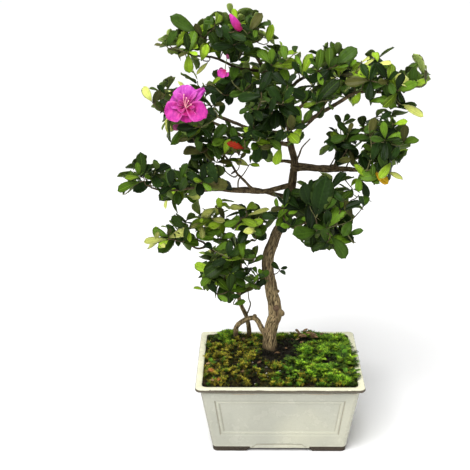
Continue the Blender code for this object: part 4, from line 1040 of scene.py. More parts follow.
class PotMaker(bpy.types.Operator):
    """Build the glazed pot with its sunk panels, bracket apron and bare clay feet"""

    bl_idname = "azalea.pot"
    bl_label = "Pot"

    def execute(self, context):
        looks = context.scene.azalea_pot
        self.half_x = looks.width / TO_METRES / 2
        self.half_y = looks.depth / TO_METRES / 2
        self.top = looks.height / TO_METRES
        self.neck = self.top - LIP_DROP
        pot = Gathering()
        self.walls(pot)
        for side_x in (-1, 1):
            for side_y in (-1, 1):
                self.foot(pot, side_x, side_y)
        pot.build("pot_glazed", [self.glaze(looks), self.clay(looks)], ["pot"], "pot")
        return {"FINISHED"}

    def body(self, height):
        """Half width and half depth of the tapering body at a height."""
        share = (height - FOOT_HEIGHT) / (self.neck - COVE_HEIGHT - FOOT_HEIGHT)
        low_x, low_y = BODY_FOOT_WIDTH / 2, BODY_FOOT_DEPTH / 2
        high_x, high_y = self.half_x - LIP_OVERHANG, self.half_y - LIP_OVERHANG
        return low_x + (high_x - low_x) * share, low_y + (high_y - low_y) * share

    def ring(self, half_x, half_y):
        """Points round a rounded rectangle: place, outward way, distance from the side's end, and side."""
        row = []
        for turn in range(4):
            wide, deep = (half_x, half_y) if turn % 2 == 0 else (half_y, half_x)
            spin = Matrix.Rotation(math.pi / 2 * turn, 3, "Z")
            length = 2 * (wide - POT_CORNER)
            middle = np.linspace(EDGE_COLUMNS[-1], length - EDGE_COLUMNS[-1], SIDE_COLUMNS[turn % 2])
            edge = EDGE_COLUMNS[:-1]
            for run in [0.0, *edge, *middle, *(length - run for run in reversed(edge))]:
                place = Vector((-wide + POT_CORNER + run, -deep, 0))
                row.append((spin @ place, spin @ Vector((0, -1, 0)), min(run, length - run), turn))
            for step in range(CORNER_STEPS):
                angle = math.pi / 2 * step / CORNER_STEPS
                out = Vector((math.sin(angle), -math.cos(angle), 0))
                place = Vector((wide - POT_CORNER, -deep + POT_CORNER, 0)) + out * POT_CORNER
                row.append((spin @ place, spin @ out, -1.0, turn))
        return row

    def relief(self, edge, height, place, turn):
        """How far the wall stands out at a place, how deep the glaze pools there, also painted shade in the
        grooves, and how thin it runs, also a painted highlight on the crest.
        """
        if edge < 0:
            return 0.0, 0.0, 0.5
        margin = PANEL_MARGIN + PANEL_TAPER * height
        over_foot, under_head = height - PANEL_LOW, PANEL_HIGH - height
        inside = min(edge + POT_CORNER - margin, over_foot, under_head)
        out = float(np.interp(inside, *zip(*GROOVE)))
        pool_and_shade = sum(depth * fade(inside - middle, half) for middle, half, depth in POOLS_AND_SHADE)
        pool_and_shade *= POOL_AND_SHADE_SHARES[0 if inside == over_foot else (1 if inside == under_head else 2)]
        if turn % 2 == 0:
            run = clip((abs(place.x) - APRON_HALF) / APRON_SLOPE)
            line = APRON_TOP - (APRON_TOP - GLAZE_LINE) * run * run * (3 - 2 * run)
            half, depth, pooled_and_shaded = APRON_EDGE
            on_line = fade(height - line, half) if abs(place.x) < APRON_HALF + APRON_SLOPE + 2 else 0
            out -= depth * on_line
            pool_and_shade += pooled_and_shaded * on_line
        return out, min(1.0, pool_and_shade), fade(inside - THIN_GLAZE_AND_HIGHLIGHT[0], THIN_GLAZE_AND_HIGHLIGHT[1])

    def walls(self, pot):
        """The outside from foot to lip, and the inside down to the floor."""
        low_top, low_step = LOW_ROWS
        heights = [*np.arange(FOOT_HEIGHT, low_top, low_step), *np.arange(low_top, self.neck, ROW_STEP)]
        rows = [(*self.body(height), height, True, 0.0) for height in [*heights, self.neck]]
        lip = [(inset, self.neck + rise, mark) for inset, rise, mark in LIP_OUTSIDE]
        lip += [(inset, self.top + rise, mark) for inset, rise, mark in LIP_TOP]
        lip += [(LIP_WIDTH, self.neck, -0.6), (LIP_OVERHANG + POT_WALL, self.neck - COVE_HEIGHT, -0.5)]
        for inset, height, mark in lip:
            rows.append((self.half_x - inset, self.half_y - inset, height, False, mark))
        floor = FOOT_HEIGHT + POT_FLOOR
        x, y = self.body(floor)
        rows.append((x - POT_WALL, y - POT_WALL, floor, False, -0.3))
        points, marks = [], []
        for x, y, height, carved, mark in rows:
            for place, out, edge, turn in self.ring(x, y):
                stand, pool_and_shade, wear, thin = 0.0, max(0.0, mark), max(0.0, -mark), 0.0
                if carved:
                    stand, pool_and_shade, thin = self.relief(edge, height, place, turn)
                if carved and edge < 0:
                    wear = CORNER_WEAR[0] + CORNER_WEAR[1] * abs(out.x) ** 4
                wobble = HAND_WOBBLE * noise.noise(place * 0.035 + UP * height * 0.03)
                points.append(place + out * (stand + wobble) + UP * height)
                marks.append((pool_and_shade, wear, thin))
        sides = len(points) // len(rows)
        faces = ring_faces(len(rows), sides)
        finishes = []
        for k, face in enumerate(faces):
            over_foot_x = abs(points[face[0]].x) > BODY_FOOT_WIDTH / 2 - FOOT_LENGTH - 3
            over_foot_y = abs(points[face[0]].y) > BODY_FOOT_DEPTH / 2 - FOOT_SIDE_LENGTH - 3
            finishes.append(int(over_foot_x and over_foot_y and k // sides < BARE_ROWS))
        closing = cap(points, 0, sides, True) + cap(points, (len(rows) - 1) * sides, sides, False)
        finishes += [1] * len(closing)
        pot.add(points, faces + closing, finishes, marks + [marks[0], marks[-1]])

    def foot(self, pot, side_x, side_y):
        """One corner foot, narrower at the table, with a sloping end."""
        half_x, half_y = BODY_FOOT_WIDTH / 2, BODY_FOOT_DEPTH / 2
        inner_x, inner_y = half_x - FOOT_THICK, half_y - FOOT_THICK
        bends = [math.pi / 2 * step / CORNER_STEPS for step in range(CORNER_STEPS + 1)]
        points = []
        for height, inset, spread in FOOT_LEVELS:
            x, y, bend = half_x - inset, half_y - inset, POT_CORNER - inset * 0.5
            end_x, end_y = half_x - FOOT_LENGTH - spread, half_y - FOOT_SIDE_LENGTH - spread
            outline = [(inner_x, end_y), (x, end_y)]
            outline += [(x - bend * (1 - math.cos(turn)), y - bend * (1 - math.sin(turn))) for turn in bends]
            outline += [(end_x, y), (end_x, inner_y), (inner_x, inner_y)]
            points += [Vector((side_x * px, side_y * py, height)) for px, py in outline]
        sides = len(points) // len(FOOT_LEVELS)
        faces = ring_faces(len(FOOT_LEVELS), sides)
        faces += [(k + 1, k, sides - 1, -1) for k in range(sides - 2)]
        if side_x * side_y < 0:
            faces = [(face[2], face[1], face[0], -1) if face[3] < 0 else face[::-1] for face in faces]
        pot.add(points, faces, 1)

    def glaze(self, looks):
        """Ivory glaze: pale where thin on the lip and on the moulding's crest, with a painted highlight
        there; grey where it pools, with painted shade in the grooves; brown where it breaks on an edge, with
        painted shade under the lip.
        """
        r = Recipe("ivory_glaze", 0.2, specular=0.45, coat=0.15, coat_roughness=0.1)
        height = r.height()
        neck = self.neck * TO_METRES
        cloud = r.noise(16, 4, 0.6, r.stretched((1, 1, 0.6)))
        body = r.mottled(r.span(cloud, 0.35, 0.68), looks.glaze, 0.94, 1.08)
        body = r.mix(r.span(r.noise(9, 2), 0.52, 0.72, 0.0, 0.35), body, shaded(looks.lip, 0.72))
        body = r.mix(r.span(height, 0.004, 0.012, 0.25, 0.0), body, shaded(looks.lip, 0.8))
        # Paler on the moulding's crest and at the corners: thin glaze, and a painted highlight
        body = r.mix(r.span(r.mark(2), 0.05, 0.9, 0.0, 0.22), body, shaded(looks.lip, 0.75))
        lip = r.mottled(r.span(r.noise(40, 4), 0.35, 0.7), looks.lip, 1, 1.15)
        colour = r.mix(r.span(height, neck + LIP_START[0], neck + LIP_START[1]), body, lip)
        # A dark band under the lip: glaze broken on its edge, and painted shade under the overhang
        level = r.math("ADD", height, r.times(r.noise(70, 3), 0.0016))
        colour = r.mix(r.times(r.band(level, neck, BROKEN_AND_SHADED_LINE), 0.96), colour, BROKEN_AND_SHADED_GLAZE)
        patchy = r.span(r.noise(28, 2), 0.42, 0.6, 0.0, 0.5)
        colour = r.mix(r.times(r.band(level, neck, STAIN_LINE), patchy), colour, STAINED_GLAZE)
        # Grey-brown where glaze pools, and painted shade in the grooves and under edges
        colour = r.mix(r.span(r.mark(0), 0.05, 1.0, 0.0, 0.85), colour, looks.pooled_and_shaded)
        worn = r.times(r.mark(1), r.span(r.noise(130, 3), 0.2, 0.5))
        colour = r.mix(r.span(worn, 0.15, 0.75, 0.0, 0.5), colour, shaded(looks.clay, 1.1))
        pits = r.times(r.math("LESS_THAN", r.cells(75), 0.075), r.math("GREATER_THAN", r.noise(31, 1), 0.6))
        colour = r.mix(pits, colour, PITTED_GLAZE)
        craze = r.span(r.cells(210, "DISTANCE_TO_EDGE"), 0.0, 0.05, 0.16, 0.0)
        r.colour(r.mix(craze, colour, shaded(looks.pooled_and_shaded, 1.1)))
        r.roughness(r.span(r.noise(60, 3), 0.3, 0.7, 0.14, 0.3))
        r.bump(r.math("SUBTRACT", r.noise(70, 4), r.times(pits, 0.6)), 0.25)
        return r.material

    def clay(self, looks):
        """Bare brown clay with grit."""
        return plain_finish("bare_clay", looks.clay, 0.9, 900, 0.3, 0.45)


class SoilMaker(bpy.types.Operator):
    """Build the mounded soil with moss fronds, short tufts, fallen leaves and grit"""

    bl_idname = "azalea.soil"
    bl_label = "Soil and moss"

    def execute(self, context):
        looks = context.scene.azalea_soil
        pot = context.scene.azalea_pot
        self.half_x = pot.width / TO_METRES / 2 - LIP_WIDTH
        self.half_y = pot.depth / TO_METRES / 2 - LIP_WIDTH
        self.draws = random.Random("moss")
        ground, tufts, fronds, litter = Gathering(), Gathering(), Gathering(), Gathering()
        self.mound(ground)
        self.tufts(tufts, looks.tufts)
        self.fronds(fronds, looks.fronds)
        self.fallen(litter)
        moss = {
            "moss_bright": looks.bright,
            "moss_leafy": LEAFY_MOSS,
            "moss_olive": looks.olive,
            "moss_brown": BROWN_MOSS,
        }
        finishes = [self.moss_finish(name, colour) for name, colour in moss.items()]
        ground.build("soil_mound", [self.earth(looks)], ["soil"], "soil")
        tufts.build("moss_tufts", finishes, (), "soil")
        fronds.build("moss_fronds", finishes, (), "soil")
        finishes = [
            plain_finish("fallen_leaf", (0.36, 0.125, 0.020), 0.6, 500, 0.2, 0.35),
            plain_finish("dead_leaf", (0.14, 0.075, 0.028), 0.75, 500, 0.2, 0.5),
            plain_finish("pale_husk", (0.31, 0.19, 0.08), 0.7, 500, 0.2, 0.4),
            plain_finish("grit", (0.62, 0.60, 0.52), 0.8, 700, 0.2, 0.25),
        ]
        litter.build("litter", finishes, (), "soil")
        return {"FINISHED"}

    def height(self, x, y):
        """Height of the mounded soil above the table."""
        out = min(1.0, max(abs(x) / self.half_x, abs(y) / self.half_y))
        rough = 1.6 * lumps(x, y, 0, 17) + 0.9 * lumps(x, y, 9, 6)
        dip = BACK_DIP * max(0.0, y / self.half_y - 0.62) / 0.38
        bank = sum(rise * near(x, y, *spot) for rise, *spot in BANKS)
        return SOIL_EDGE + SOIL_RISE * (1 - out**MOUND_POWER) + rough * (1.2 - out**2) - dip + bank

    def mound(self, ground):
        """A grid of soil with rounded corners, and a skirt below it."""
        rows, columns = MOUND_GRID
        points = []
        for row in range(rows):
            for column in range(columns):
                x = (2 * column / (columns - 1) - 1) * self.half_x
                y = (2 * row / (rows - 1) - 1) * self.half_y
                over_x, over_y = abs(x) - self.half_x + SOIL_CORNER, abs(y) - self.half_y + SOIL_CORNER
                reach = math.hypot(over_x, over_y)
                if min(over_x, over_y) > 0 and reach > SOIL_CORNER:
                    x -= math.copysign(over_x * (1 - SOIL_CORNER / reach), x)
                    y -= math.copysign(over_y * (1 - SOIL_CORNER / reach), y)
                points.append((x, y, self.height(x, y) + 0.8 * lumps(x, y, 4, 2.2)))
        faces = ring_faces(rows, columns, closed=False)
        rim = grid_rim(rows, columns)
        skirt = len(points)
        points += [(points[k][0] * 0.99, points[k][1] * 0.99, SOIL_EDGE - SKIRT_DEPTH) for k in rim]
        for k, start in enumerate(rim):
            after = (k + 1) % len(rim)
            faces.append((rim[after], start, skirt + k, skirt + after))
        ground.add(points, faces)

    def earth(self, looks):
        """Near-black soil with brown crumbs and a film of green."""
        r = Recipe("damp_earth", 0.95, specular=0.2)
        crumbs = r.noise(330, 5, 0.7)
        earth = r.mix(r.span(crumbs, 0.35, 0.7), looks.earth, CRUMBS)
        film = r.mix(r.span(crumbs, 0.4, 0.65), *GREEN_FILM)
        r.colour(r.mix(r.span(r.noise(45, 3), 0.45, 0.62), earth, film))
        r.bump(crumbs, 1.2)
        return r.material

    def bare(self, x, y):
        """How bare the soil is at a place, from 0 to 1."""
        return min(1.0, sum(2.2 * near(x, y, *spot) for spot in BARE))

    def lush(self, x, y):
        """How fresh and feathery the moss is at a place."""
        fresh = 0.40 + x / 130 + y / 230 + 0.95 * lumps(x, y, 30, 12)
        return clip(fresh + sum(gain * near(x, y, *spot) for gain, *spot in FRESHER))

    def cushion(self, x, y):
        """Height of the moss over the soil, from 0 to 1: rounded clumps with gaps between them, where the
        moss is painted dark as shade.
        """
        clumps = 1.1 * lumps(x, y, 50, 12) + 1.0 * lumps(x, y, 70, 5.5)
        return clip(0.36 + 1.9 * clumps) * (1 - self.bare(x, y))

    def choose(self, fresh, bare=0.0):
        """Which moss grows at a place."""
        draws = self.draws
        if draws.random() < 1.3 * bare:
            return 3
        if draws.random() < fresh:
            return 0 if draws.random() < 0.42 * fresh + 0.05 else 1
        return 2 if draws.random() < 0.55 else (3 if draws.random() < 0.5 else 1)

    def tufts(self, moss, count):
        """Short cushions of pointed blades, painted dark at the root and in the gaps as shade."""
        draws = self.draws
        for _ in range(count):
            x = draws.uniform(-1, 1) * (self.half_x - 1.0)
            y = draws.uniform(0.5 - self.half_y, self.half_y - 4)
            high, bare = self.cushion(x, y), self.bare(x, y)
            if draws.random() < 0.5 * bare or draws.random() > 0.25 + high + bare:
                continue
            fresh = self.lush(x, y)
            finish = self.choose(fresh, bare)
            foot = Vector((x, y, self.height(x, y) - 0.3 + TUFT_RISE * high))
            size = draws.uniform(*TUFT_SIZES) * (1 + 0.35 * fresh)
            # Painted light: low tufts in the gaps are painted darker as shade, with a random share
            light = DEEPEST_PAINTED_LIGHT + (1 - DEEPEST_PAINTED_LIGHT) * max(high**1.3, 0.3 * bare) * draws.uniform(0.45, 1.0)
            points, faces, marks = [], [], []
            for blade in range(TUFT_BLADES):
                turn = GOLDEN_TURN * blade + draws.uniform(0, 1)
                lean = draws.uniform(0.25, 1.15)
                out = Vector((math.cos(turn), math.sin(turn), 0))
                side = Vector((-out.y, out.x, 0)) * size * 0.12
                root = foot - UP * 2.5
                middle = foot + out * size * 0.45 * lean + UP * size * 0.55
                tip = foot + out * size * lean + UP * size * draws.uniform(0.6, 1.1)
                first = len(points)
                points += [root + side * 0.6, root - side * 0.6, middle + side, middle - side, tip]
                marks += [(along, light, 0) for along in (0, 0, 0.6, 0.6, 1)]
                faces += [(first, first + 1, first + 3, first + 2), (first + 2, first + 3, first + 4, -1)]
            moss.add(points, faces, finish, marks)

    def fronds(self, moss, count):
        """Feathery fronds with paired leaflets, largest where the moss is fresh."""
        draws = self.draws
        for _ in range(count):
            x = draws.uniform(-1, 1) * (self.half_x - 3)
            y = draws.uniform(2 - self.half_y, self.half_y - 6)
            fresh, high = self.lush(x, y), self.cushion(x, y)
            if draws.random() > (0.1 + fresh) * (0.2 + high):
                continue
            foot = Vector((x, y, self.height(x, y) + FROND_RISE * high))
            turn = draws.uniform(0, 2 * math.pi)
            spills = max(near(x, y, *spot) for spot in SPILLS) > 0.2
            edge = max(0.0, max(abs(x) / self.half_x, abs(y) / self.half_y) - 0.8) * 5
            outward = Vector((x / self.half_x, y / self.half_y, 0)) * (1.6 * edge if spills else -1.2 * edge)
            lean = (Vector((math.cos(turn), math.sin(turn), 0)) + outward).normalized()
            side = Vector((-lean.y, lean.x, 0))
            length = draws.uniform(*FROND_LENGTHS) * (0.5 + 0.6 * fresh)
            if spills and edge > 0.2:
                length, foot = 9 + 0.5 * length, foot + UP * 2.5
            arch = draws.uniform(0.3, 1.0)
            # Painted light: fronds low in the gaps are painted darker as shade, with a random share
            light = DEEPEST_PAINTED_LIGHT + (1 - DEEPEST_PAINTED_LIGHT) * high**1.3 * draws.uniform(0.15, 1.0)
            shares = [joint / (FROND_JOINTS - 1) for joint in range(FROND_JOINTS)]
            bend = UP * length * arch
            stem = [foot + lean * length * t * 0.85 + bend * (t - 0.62 * t * t) for t in shares]
            points, faces, marks = [], [], []
            for before, joint, t in zip(stem, stem[1:], shares[1:]):
                ahead = (joint - before).normalized()
                reach = length * 0.34 * math.sin(math.pi * (0.18 + 0.75 * t))
                wide = ahead * reach * 0.38
                root = before.lerp(joint, 0.5)
                for hand in (-1, 1):
                    first = len(points)
                    leaflet = (side * hand + ahead * 0.7).normalized() * reach
                    leaflet += UP * draws.uniform(-0.2, 0.5)
                    points += [root - wide * 0.5, root + wide * 0.5]
                    points += [root + leaflet * 0.6 + wide, root + leaflet]
                    marks += [(0.3 + 0.5 * t, light, 0)] * 2 + [(0.5 + 0.5 * t, light, 0)] * 2
                    order = (first, first + 1, first + 2, first + 3)
                    faces.append(order if hand < 0 else order[::-1])
            moss.add(points, faces, self.choose(min(1.0, fresh + 0.2)), marks)

    def moss_finish(self, name, colour):
        """Moss painted nearly black at the root and in the gaps as shade, and bright at the tip."""
        r = Recipe(name, 0.65, specular=0.25)
        tip, light = r.mark(0), r.mark(1)
        fresh = r.mottled(r.span(r.noise(160, 3), 0.35, 0.65), colour, 0.5, 1.65)
        # Painted shade: the darkened copy of the colour at the root and in the gaps
        share = r.times(r.span(tip, 0.0, 0.8, 0.1, 1.0), r.span(light, 0.05, 0.85, 0.04, 1.0))
        r.colour(r.mix(share, shaded(colour, 0.08), fresh))
        return r.material

    def fallen(self, litter):
        """Fallen leaves, husks and pale grit on the moss."""
        draws = self.draws
        self.kinds = [leaf_kind(draws, curl=0.5) for _ in range(4)]
        for x, y, length, wide, finish, turn in FALLEN:
            self.drop(litter, x, y, length, wide, finish, turn, 6.5)
        for _ in range(PILE_LEAVES):
            x, y = (draws.gauss(*place) for place in PILE_SPOT)
            length = draws.uniform(6, 11)
            finish = 1 if draws.random() < 0.65 else 2
            self.drop(litter, x, y, length, 0.5, finish, draws.uniform(0, 6.28), draws.uniform(5, 9))
        for _ in range(LOOSE_LEAVES):
            x, y = (draws.uniform(*limits) for limits in LOOSE_AREA)
            length = draws.uniform(5, 9)
            self.drop(litter, x, y, length, 0.45, 1, draws.uniform(0, 6.28), 3.0)
        for _ in range(GRIT):
            x, y = (draws.gauss(*place) for place in GRIT_SPOT)
            if abs(x) < self.half_x - 4 and abs(y) < self.half_y - 4:
                size = draws.uniform(*GRIT_SIZES)
                place = (x, y, self.height(x, y) + 1.2)
                knob(litter, place, (size, size, size * 0.8), draws.random() * 50, 3)

    def drop(self, litter, x, y, length, wide, finish, turn, lift):
        """One leaf lying on the moss."""
        draws = self.draws
        x = clip(x, 6 - self.half_x, self.half_x - 6)
        y = clip(y, 6 - self.half_y, self.half_y - 6)
        way = Vector((math.cos(turn), math.sin(turn), draws.uniform(-0.1, 0.12 * lift))).normalized()
        up = Vector((draws.uniform(-0.4, 0.4), draws.uniform(-0.5, 0.1), 1)).normalized()
        root = Vector((x, y, self.height(x, y) + lift)) - way * length / 2
        kind = draws.choice(self.kinds)
        litter.add(place_leaf(kind, root, way, up, length, length * wide), kind.faces, finish)


LeafKind = namedtuple("LeafKind", "points faces under marks")


def leaf_kind(draws, curl=0.0):
    """A leaf lying along +Y with its top up, as points for a length and half width of 1."""
    fold = draws.uniform(0.25, 0.6)
    droop = draws.uniform(0.02, 0.16) + curl * 0.25
    lip = draws.uniform(0.10, 0.25) + curl * 0.4
    wave = draws.uniform(0, 2 * math.pi)
    ripple = draws.uniform(0.01, 0.035)
    sway = draws.uniform(-0.08, 0.08)
    rows, columns = len(LEAF_ALONG), LEAF_COLUMNS
    top, marks = [], []
    for along, half in zip(LEAF_ALONG, LEAF_HALVES):
        for column in range(columns):
            side = 2 * column / (columns - 1) - 1
            width = side * half
            rise = 0.25 * (fold * abs(width) - lip * width**2 * abs(width)) - droop * along**2
            rise += ripple * abs(side) * math.sin(7 * along + wave + side)
            back = 0.035 * side * side * along if along > 0.9 else 0.0
            top.append((width + sway * 4 * along * (along - 1), along - back, rise))
            marks.append((abs(side), along, 0.0))
    under, number = [], list(range(rows * columns))
    rim = set(grid_rim(rows, columns))
    for k, (x, y, z) in enumerate(top):
        if k not in rim:
            number[k] = len(top) + len(under)
            under.append((x, y, z - LEAF_BLADE))
            marks.append(marks[k])
    faces = ring_faces(rows, columns, closed=False)
    below = [tuple(number[corner] for corner in reversed(face)) for face in faces]
    is_under = [0] * len(faces) + [1] * len(below)
    return LeafKind(np.array(top + under), np.array(faces + below), np.array(is_under), np.array(marks))


def place_leaf(kind, root, way, up, length, width):
    """Points of a leaf that springs from a root."""
    side, up = square_to(way, up)
    sized = kind.points * (width / 2, length, length)
    return np.array(root) + sized @ np.array([tuple(side), tuple(way), tuple(up)])


Leaf = namedtuple("Leaf", "root way up length width tone")


def leaf_outline(leaf):
    """A coarse outline of a leaf: points for testing where it reaches, and faces."""
    side, up = square_to(leaf.way, leaf.up)
    half = side * leaf.width / 2
    third = leaf.root + leaf.way * leaf.length * 0.4
    wide = leaf.root + leaf.way * leaf.length * 0.72 - up * leaf.length * 0.03
    tip = leaf.root + leaf.way * leaf.length - up * leaf.length * 0.09
    points = [leaf.root, third - half * 0.72, third + half * 0.72, wide - half, wide + half, tip]
    return points, [(0, 2, 1), (1, 2, 4, 3), (3, 4, 5)]


class Crown:
    """The limbs, and what has grown on them so far."""

    def __init__(self):
        self.limbs = {
            "trunk": upright_line(TRUNK_LINE, 13.0),
            "second_stem": upright_line(SECOND_STEM_LINE, 18.0),
        }
        for name, bough in BOUGHS.items():
            self.limbs[name] = bough_line(name, bough, self.limbs)
        self.kept = []
        self.spray = 0

    def footed(self, limb, places, width):
        """Knots of a small twig that starts inside a limb and tapers to half its width."""
        rows = smooth_rows(self.limbs[limb])
        foot = rows[np.linalg.norm(rows[:, :3] - places[0], axis=1).argmin()]
        knots = [(*foot[:3], width)]
        for k, place in enumerate(places):
            knots.append((*place, width * (1 - 0.5 * k / (len(places) - 1))))
        return knots

    def wood(self, near_to, reach):
        """Places and half widths of the limbs near a mass."""
        rows = np.concatenate([smooth_rows(line) for line in self.limbs.values()])
        close = np.linalg.norm(rows[:, :3] - near_to, axis=1) < reach
        return rows[close, :3], rows[close, 3] / 2

    def crossed(self, leaf):
        """True where a leaf cuts through another spray's leaf."""
        middle = leaf.root + leaf.way * leaf.length / 2
        tree = BVHTree.FromPolygons(*leaf_outline(leaf))
        for other, centre, spray in self.kept:
            if spray != self.spray and (centre - middle).length < MEETING_REACH and tree.overlap(other):
                return True
        return False

    def keep(self, leaf):
        """Remember a leaf, so that later ones stay clear of it."""
        middle = leaf.root + leaf.way * leaf.length / 2
        self.kept.append((BVHTree.FromPolygons(*leaf_outline(leaf)), middle, self.spray))


def smooth_rows(line):
    """The rows of a line again, at most 3 mm apart."""
    rows = [line[0]]
    for low, high in zip(line, line[1:]):
        count = max(1, math.ceil(np.linalg.norm(high[:3] - low[:3]) / 3))
        rows += [low + (high - low) * k / count for k in range(1, count + 1)]
    return np.array(rows)


def bent_line(start, way, end, arrive, width, end_width, step):
    """A smoothly bending twig from one place and direction to another."""
    reach = (end - start).length
    first = start + way * reach * BEND_REACH
    second = end - arrive * reach * BEND_REACH
    steps = max(3, round(reach / step))
    line = []
    for k in range(steps + 1):
        t = k / steps
        s = 1 - t
        place = start * s**3 + first * 3 * s * s * t + second * 3 * s * t * t + end * t**3
        line.append(np.array((*place, width + (end_width - width) * t)))
    return line


def mass_stem(mass, limbs):
    """The stem of a mass, from its limb into the middle of its space."""
    centre = Vector(mass.centre)
    hub = centre - UP * HUB_DROP * mass.radii[2]
    place, way, limb_width = limb_place(limbs[mass.limb], mass.along)
    width = limb_width * 0.95
    if mass.along < 1:
        way, width = (centre - place).normalized(), STEM_WIDTH
    arrive = (hub - place).normalized().lerp(UP, STEM_LIFT).normalized()
    return bent_line(place, way, hub, arrive, width, STEM_TIP_WIDTH, STEM_STEP)


def shoot_tips(mass, draws, count, inward=1.0):
    """Tips of a mass's shoots: an even spiral over its space, with the way each one points."""
    centre, radii = Vector(mass.centre), mass.radii
    tips = []
    for k in range(count):
        lift = HIGHEST_SHOOT - (HIGHEST_SHOOT - LOWEST_SHOOT) * (k + 0.5) / count
        turn = GOLDEN_TURN * k + draws.uniform(-TURN_STRAY, TURN_STRAY)
        flat = math.sqrt(1 - lift**2)
        out = Vector((flat * math.cos(turn), flat * math.sin(turn), lift))
        edge = 1 / math.sqrt(sum((out[j] / radii[j]) ** 2 for j in range(3)))
        reach = max(LEAST_REACH * edge, edge - mass.leaf * SHOOT_REACH) * inward
        tips.append((centre + out * reach, (out + UP * SHOOT_RISE).normalized()))
    return tips


def branch_nodes(line):
    """Places along a line, with its direction, where twigs may branch."""
    nodes = []
    for low, high in zip(line, line[1:]):
        start, end = Vector(low[:3]), Vector(high[:3])
        nodes += [(start.lerp(end, share), (end - start).normalized()) for share in BRANCH_SHARES]
    return nodes


def grow_twig(nodes, tip, way):
    """A twig to a tip from the nearest place on what has grown so far."""
    costs = []
    for place, node_way in nodes:
        gap = tip - place
        costs.append(gap.length * (1 + TURN_BACK_COST * (1 - node_way.dot(gap.normalized()))))
    start, node_way = nodes[costs.index(min(costs))]
    heading = node_way.lerp((tip - start).normalized(), TWIG_TURN).normalized()
    return bent_line(start, heading, tip, way, TWIG_WIDTH, TWIG_TIP_WIDTH, TWIG_STEP)


def twig_shape(gathering, line, sides, finish=0):
    """A thin tapering tube."""
    points, marks = [], []
    for row, (place, across, other) in zip(line, frames(line)):
        for turn in turns(sides):
            points.append(place + (across * math.cos(turn) + other * math.sin(turn)) * row[3] / 2)
            marks.append((0.0, row[3] / 14, 0.5))
    faces = ring_faces(len(line), sides)
    faces += cap(points, len(points) - sides, sides, False)
    gathering.add(points, faces, finish, marks + [marks[-1]])


def opening(angles, level, draws):
    """The angle between a shoot and one of its leaves, which closes towards the top."""
    lowest, closing, strayed = angles
    return math.radians(lowest - closing * level + draws.uniform(-strayed, strayed))


def whorl(tip, axis, length, count, tone, draws):
    """The leaves of a spray: large and spreading below, small and upright on top."""
    across = axis.orthogonal().normalized()
    other = axis.cross(across)
    phase = draws.uniform(0, 2 * math.pi)
    leaves = []
    for k in range(count):
        level = k / max(1, count - 1)
        turn = phase + GOLDEN_TURN * k
        out = across * math.cos(turn) + other * math.sin(turn)
        spread = opening(WHORL_OPENING, level**1.3, draws)
        way = axis * math.cos(spread) + out * math.sin(spread)
        way = (way - UP * 0.10 * (1 - level)).normalized()
        size = length * (1.08 - 0.5 * level) * draws.uniform(*WHORL_LENGTHS)
        root = tip + axis * (6.5 * level - 4.5) + out * 0.5
        up = axis.lerp(-out, min(1.0, level * 0.9)).normalized()
        up = (up + stray(draws, WHORL_STRAY)).normalized()
        step = 0 if level < 0.5 else (1 if level < 0.8 else 2)
        own = tone if tone > LIME else min(LIME, tone + step)
        leaves.append(Leaf(root, way, up, size, size * LEAF_WIDTH, own))
    return leaves


def front_place(mass, right, rise):
    """A place at the front of a mass's space, from how far right and up it lies there."""
    front = FRONT_SHARE * math.sqrt(max(0.0, 1 - right**2 - rise**2))
    wide, deep, high = mass.radii
    return Vector(mass.centre) + Vector((right * wide, -front * deep, rise * high))


def fan(hub, axis, length, tones, draws):
    """The leaves of a spray at the open side, which spread round its shoot and turn their tops outwards."""
    across = axis.cross(FACING).normalized()
    depth = axis.cross(across)
    phase = draws.uniform(0, 2 * math.pi)
    leaves = []
    for k, tone in enumerate(tones):
        level = (k + 0.5) / len(tones)
        turn = phase + GOLDEN_TURN * k
        out = (across * math.cos(turn) + depth * math.sin(turn) * FAN_DEPTH).normalized()
        spread = opening(FAN_OPENING, level, draws)
        way = axis * math.cos(spread) + out * math.sin(spread)
        up = FACING + stray(draws, FAN_STRAY)
        size = length * (1.0 - 0.35 * level) * draws.uniform(*FAN_LENGTHS)
        width = size * LEAF_WIDTH * draws.uniform(*FAN_WIDTHS)
        root = hub + axis * (6 * level - 4)
        leaves.append(Leaf(root, way.normalized(), up, size, width, TONES.index(tone)))
    return leaves


class LimbMaker(bpy.types.Operator):
    """Build the trunk, second stem, arched root and boughs with relief in their bark"""

    bl_idname = "azalea.limbs"
    bl_label = "Trunk and boughs"

    def execute(self, context):
        looks = context.scene.azalea_bark
        bark = bark_material(looks)
        depth = looks.fissure / TO_METRES
        scar = plain_finish("pruning_scar", (0.10, 0.058, 0.030), 0.8, 600, 0.4, 0.5)

        trunk = Gathering()
        line = upright_line(TRUNK_LINE, 1.5)
        bark_shape(trunk, line, sides=60, depth=depth, seed=3.0, swell=self.flare)
        for burr in BURRS:
            knob(trunk, *burr)
        trunk.build("trunk_bark", [bark, scar], ["trunk"], "bark")

        root = Gathering()
        bark_shape(root, upright_line(ARCH_LINE, 1.8), sides=28, depth=depth * 0.6, seed=11.0)
        knob(root, *ARCH_BURR)
        root.build("arched_root_bark", [bark], ["arch_root_rise", "arch_root_drop"], "bark")

        stem = Gathering()
        bark_shape(stem, upright_line(SECOND_STEM_LINE, 2.0), sides=24, depth=depth * 0.5, seed=21.0)
        stem.build("second_stem_bark", [bark], ["second_stem"], "bark")

        boughs = Gathering()
        crown = Crown()
        for number, name in enumerate(BOUGHS):
            bark_shape(boughs, crown.limbs[name], sides=20, depth=depth * 0.55, seed=31.0 + number)
        boughs.build("boughs_bark", [bark], list(BOUGHS), "bark")
        return {"FINISHED"}

    def flare(self, place, turn):
        """How much wider the trunk is at its rooted foot."""
        above = max(0.0, place.z - FLARE_FOOT)
        lobes = 0.6 + 0.4 * math.cos(FLARE_LOBES * turn)
        return 1 + FLARE * math.exp(-above / FLARE_HEIGHT) * lobes


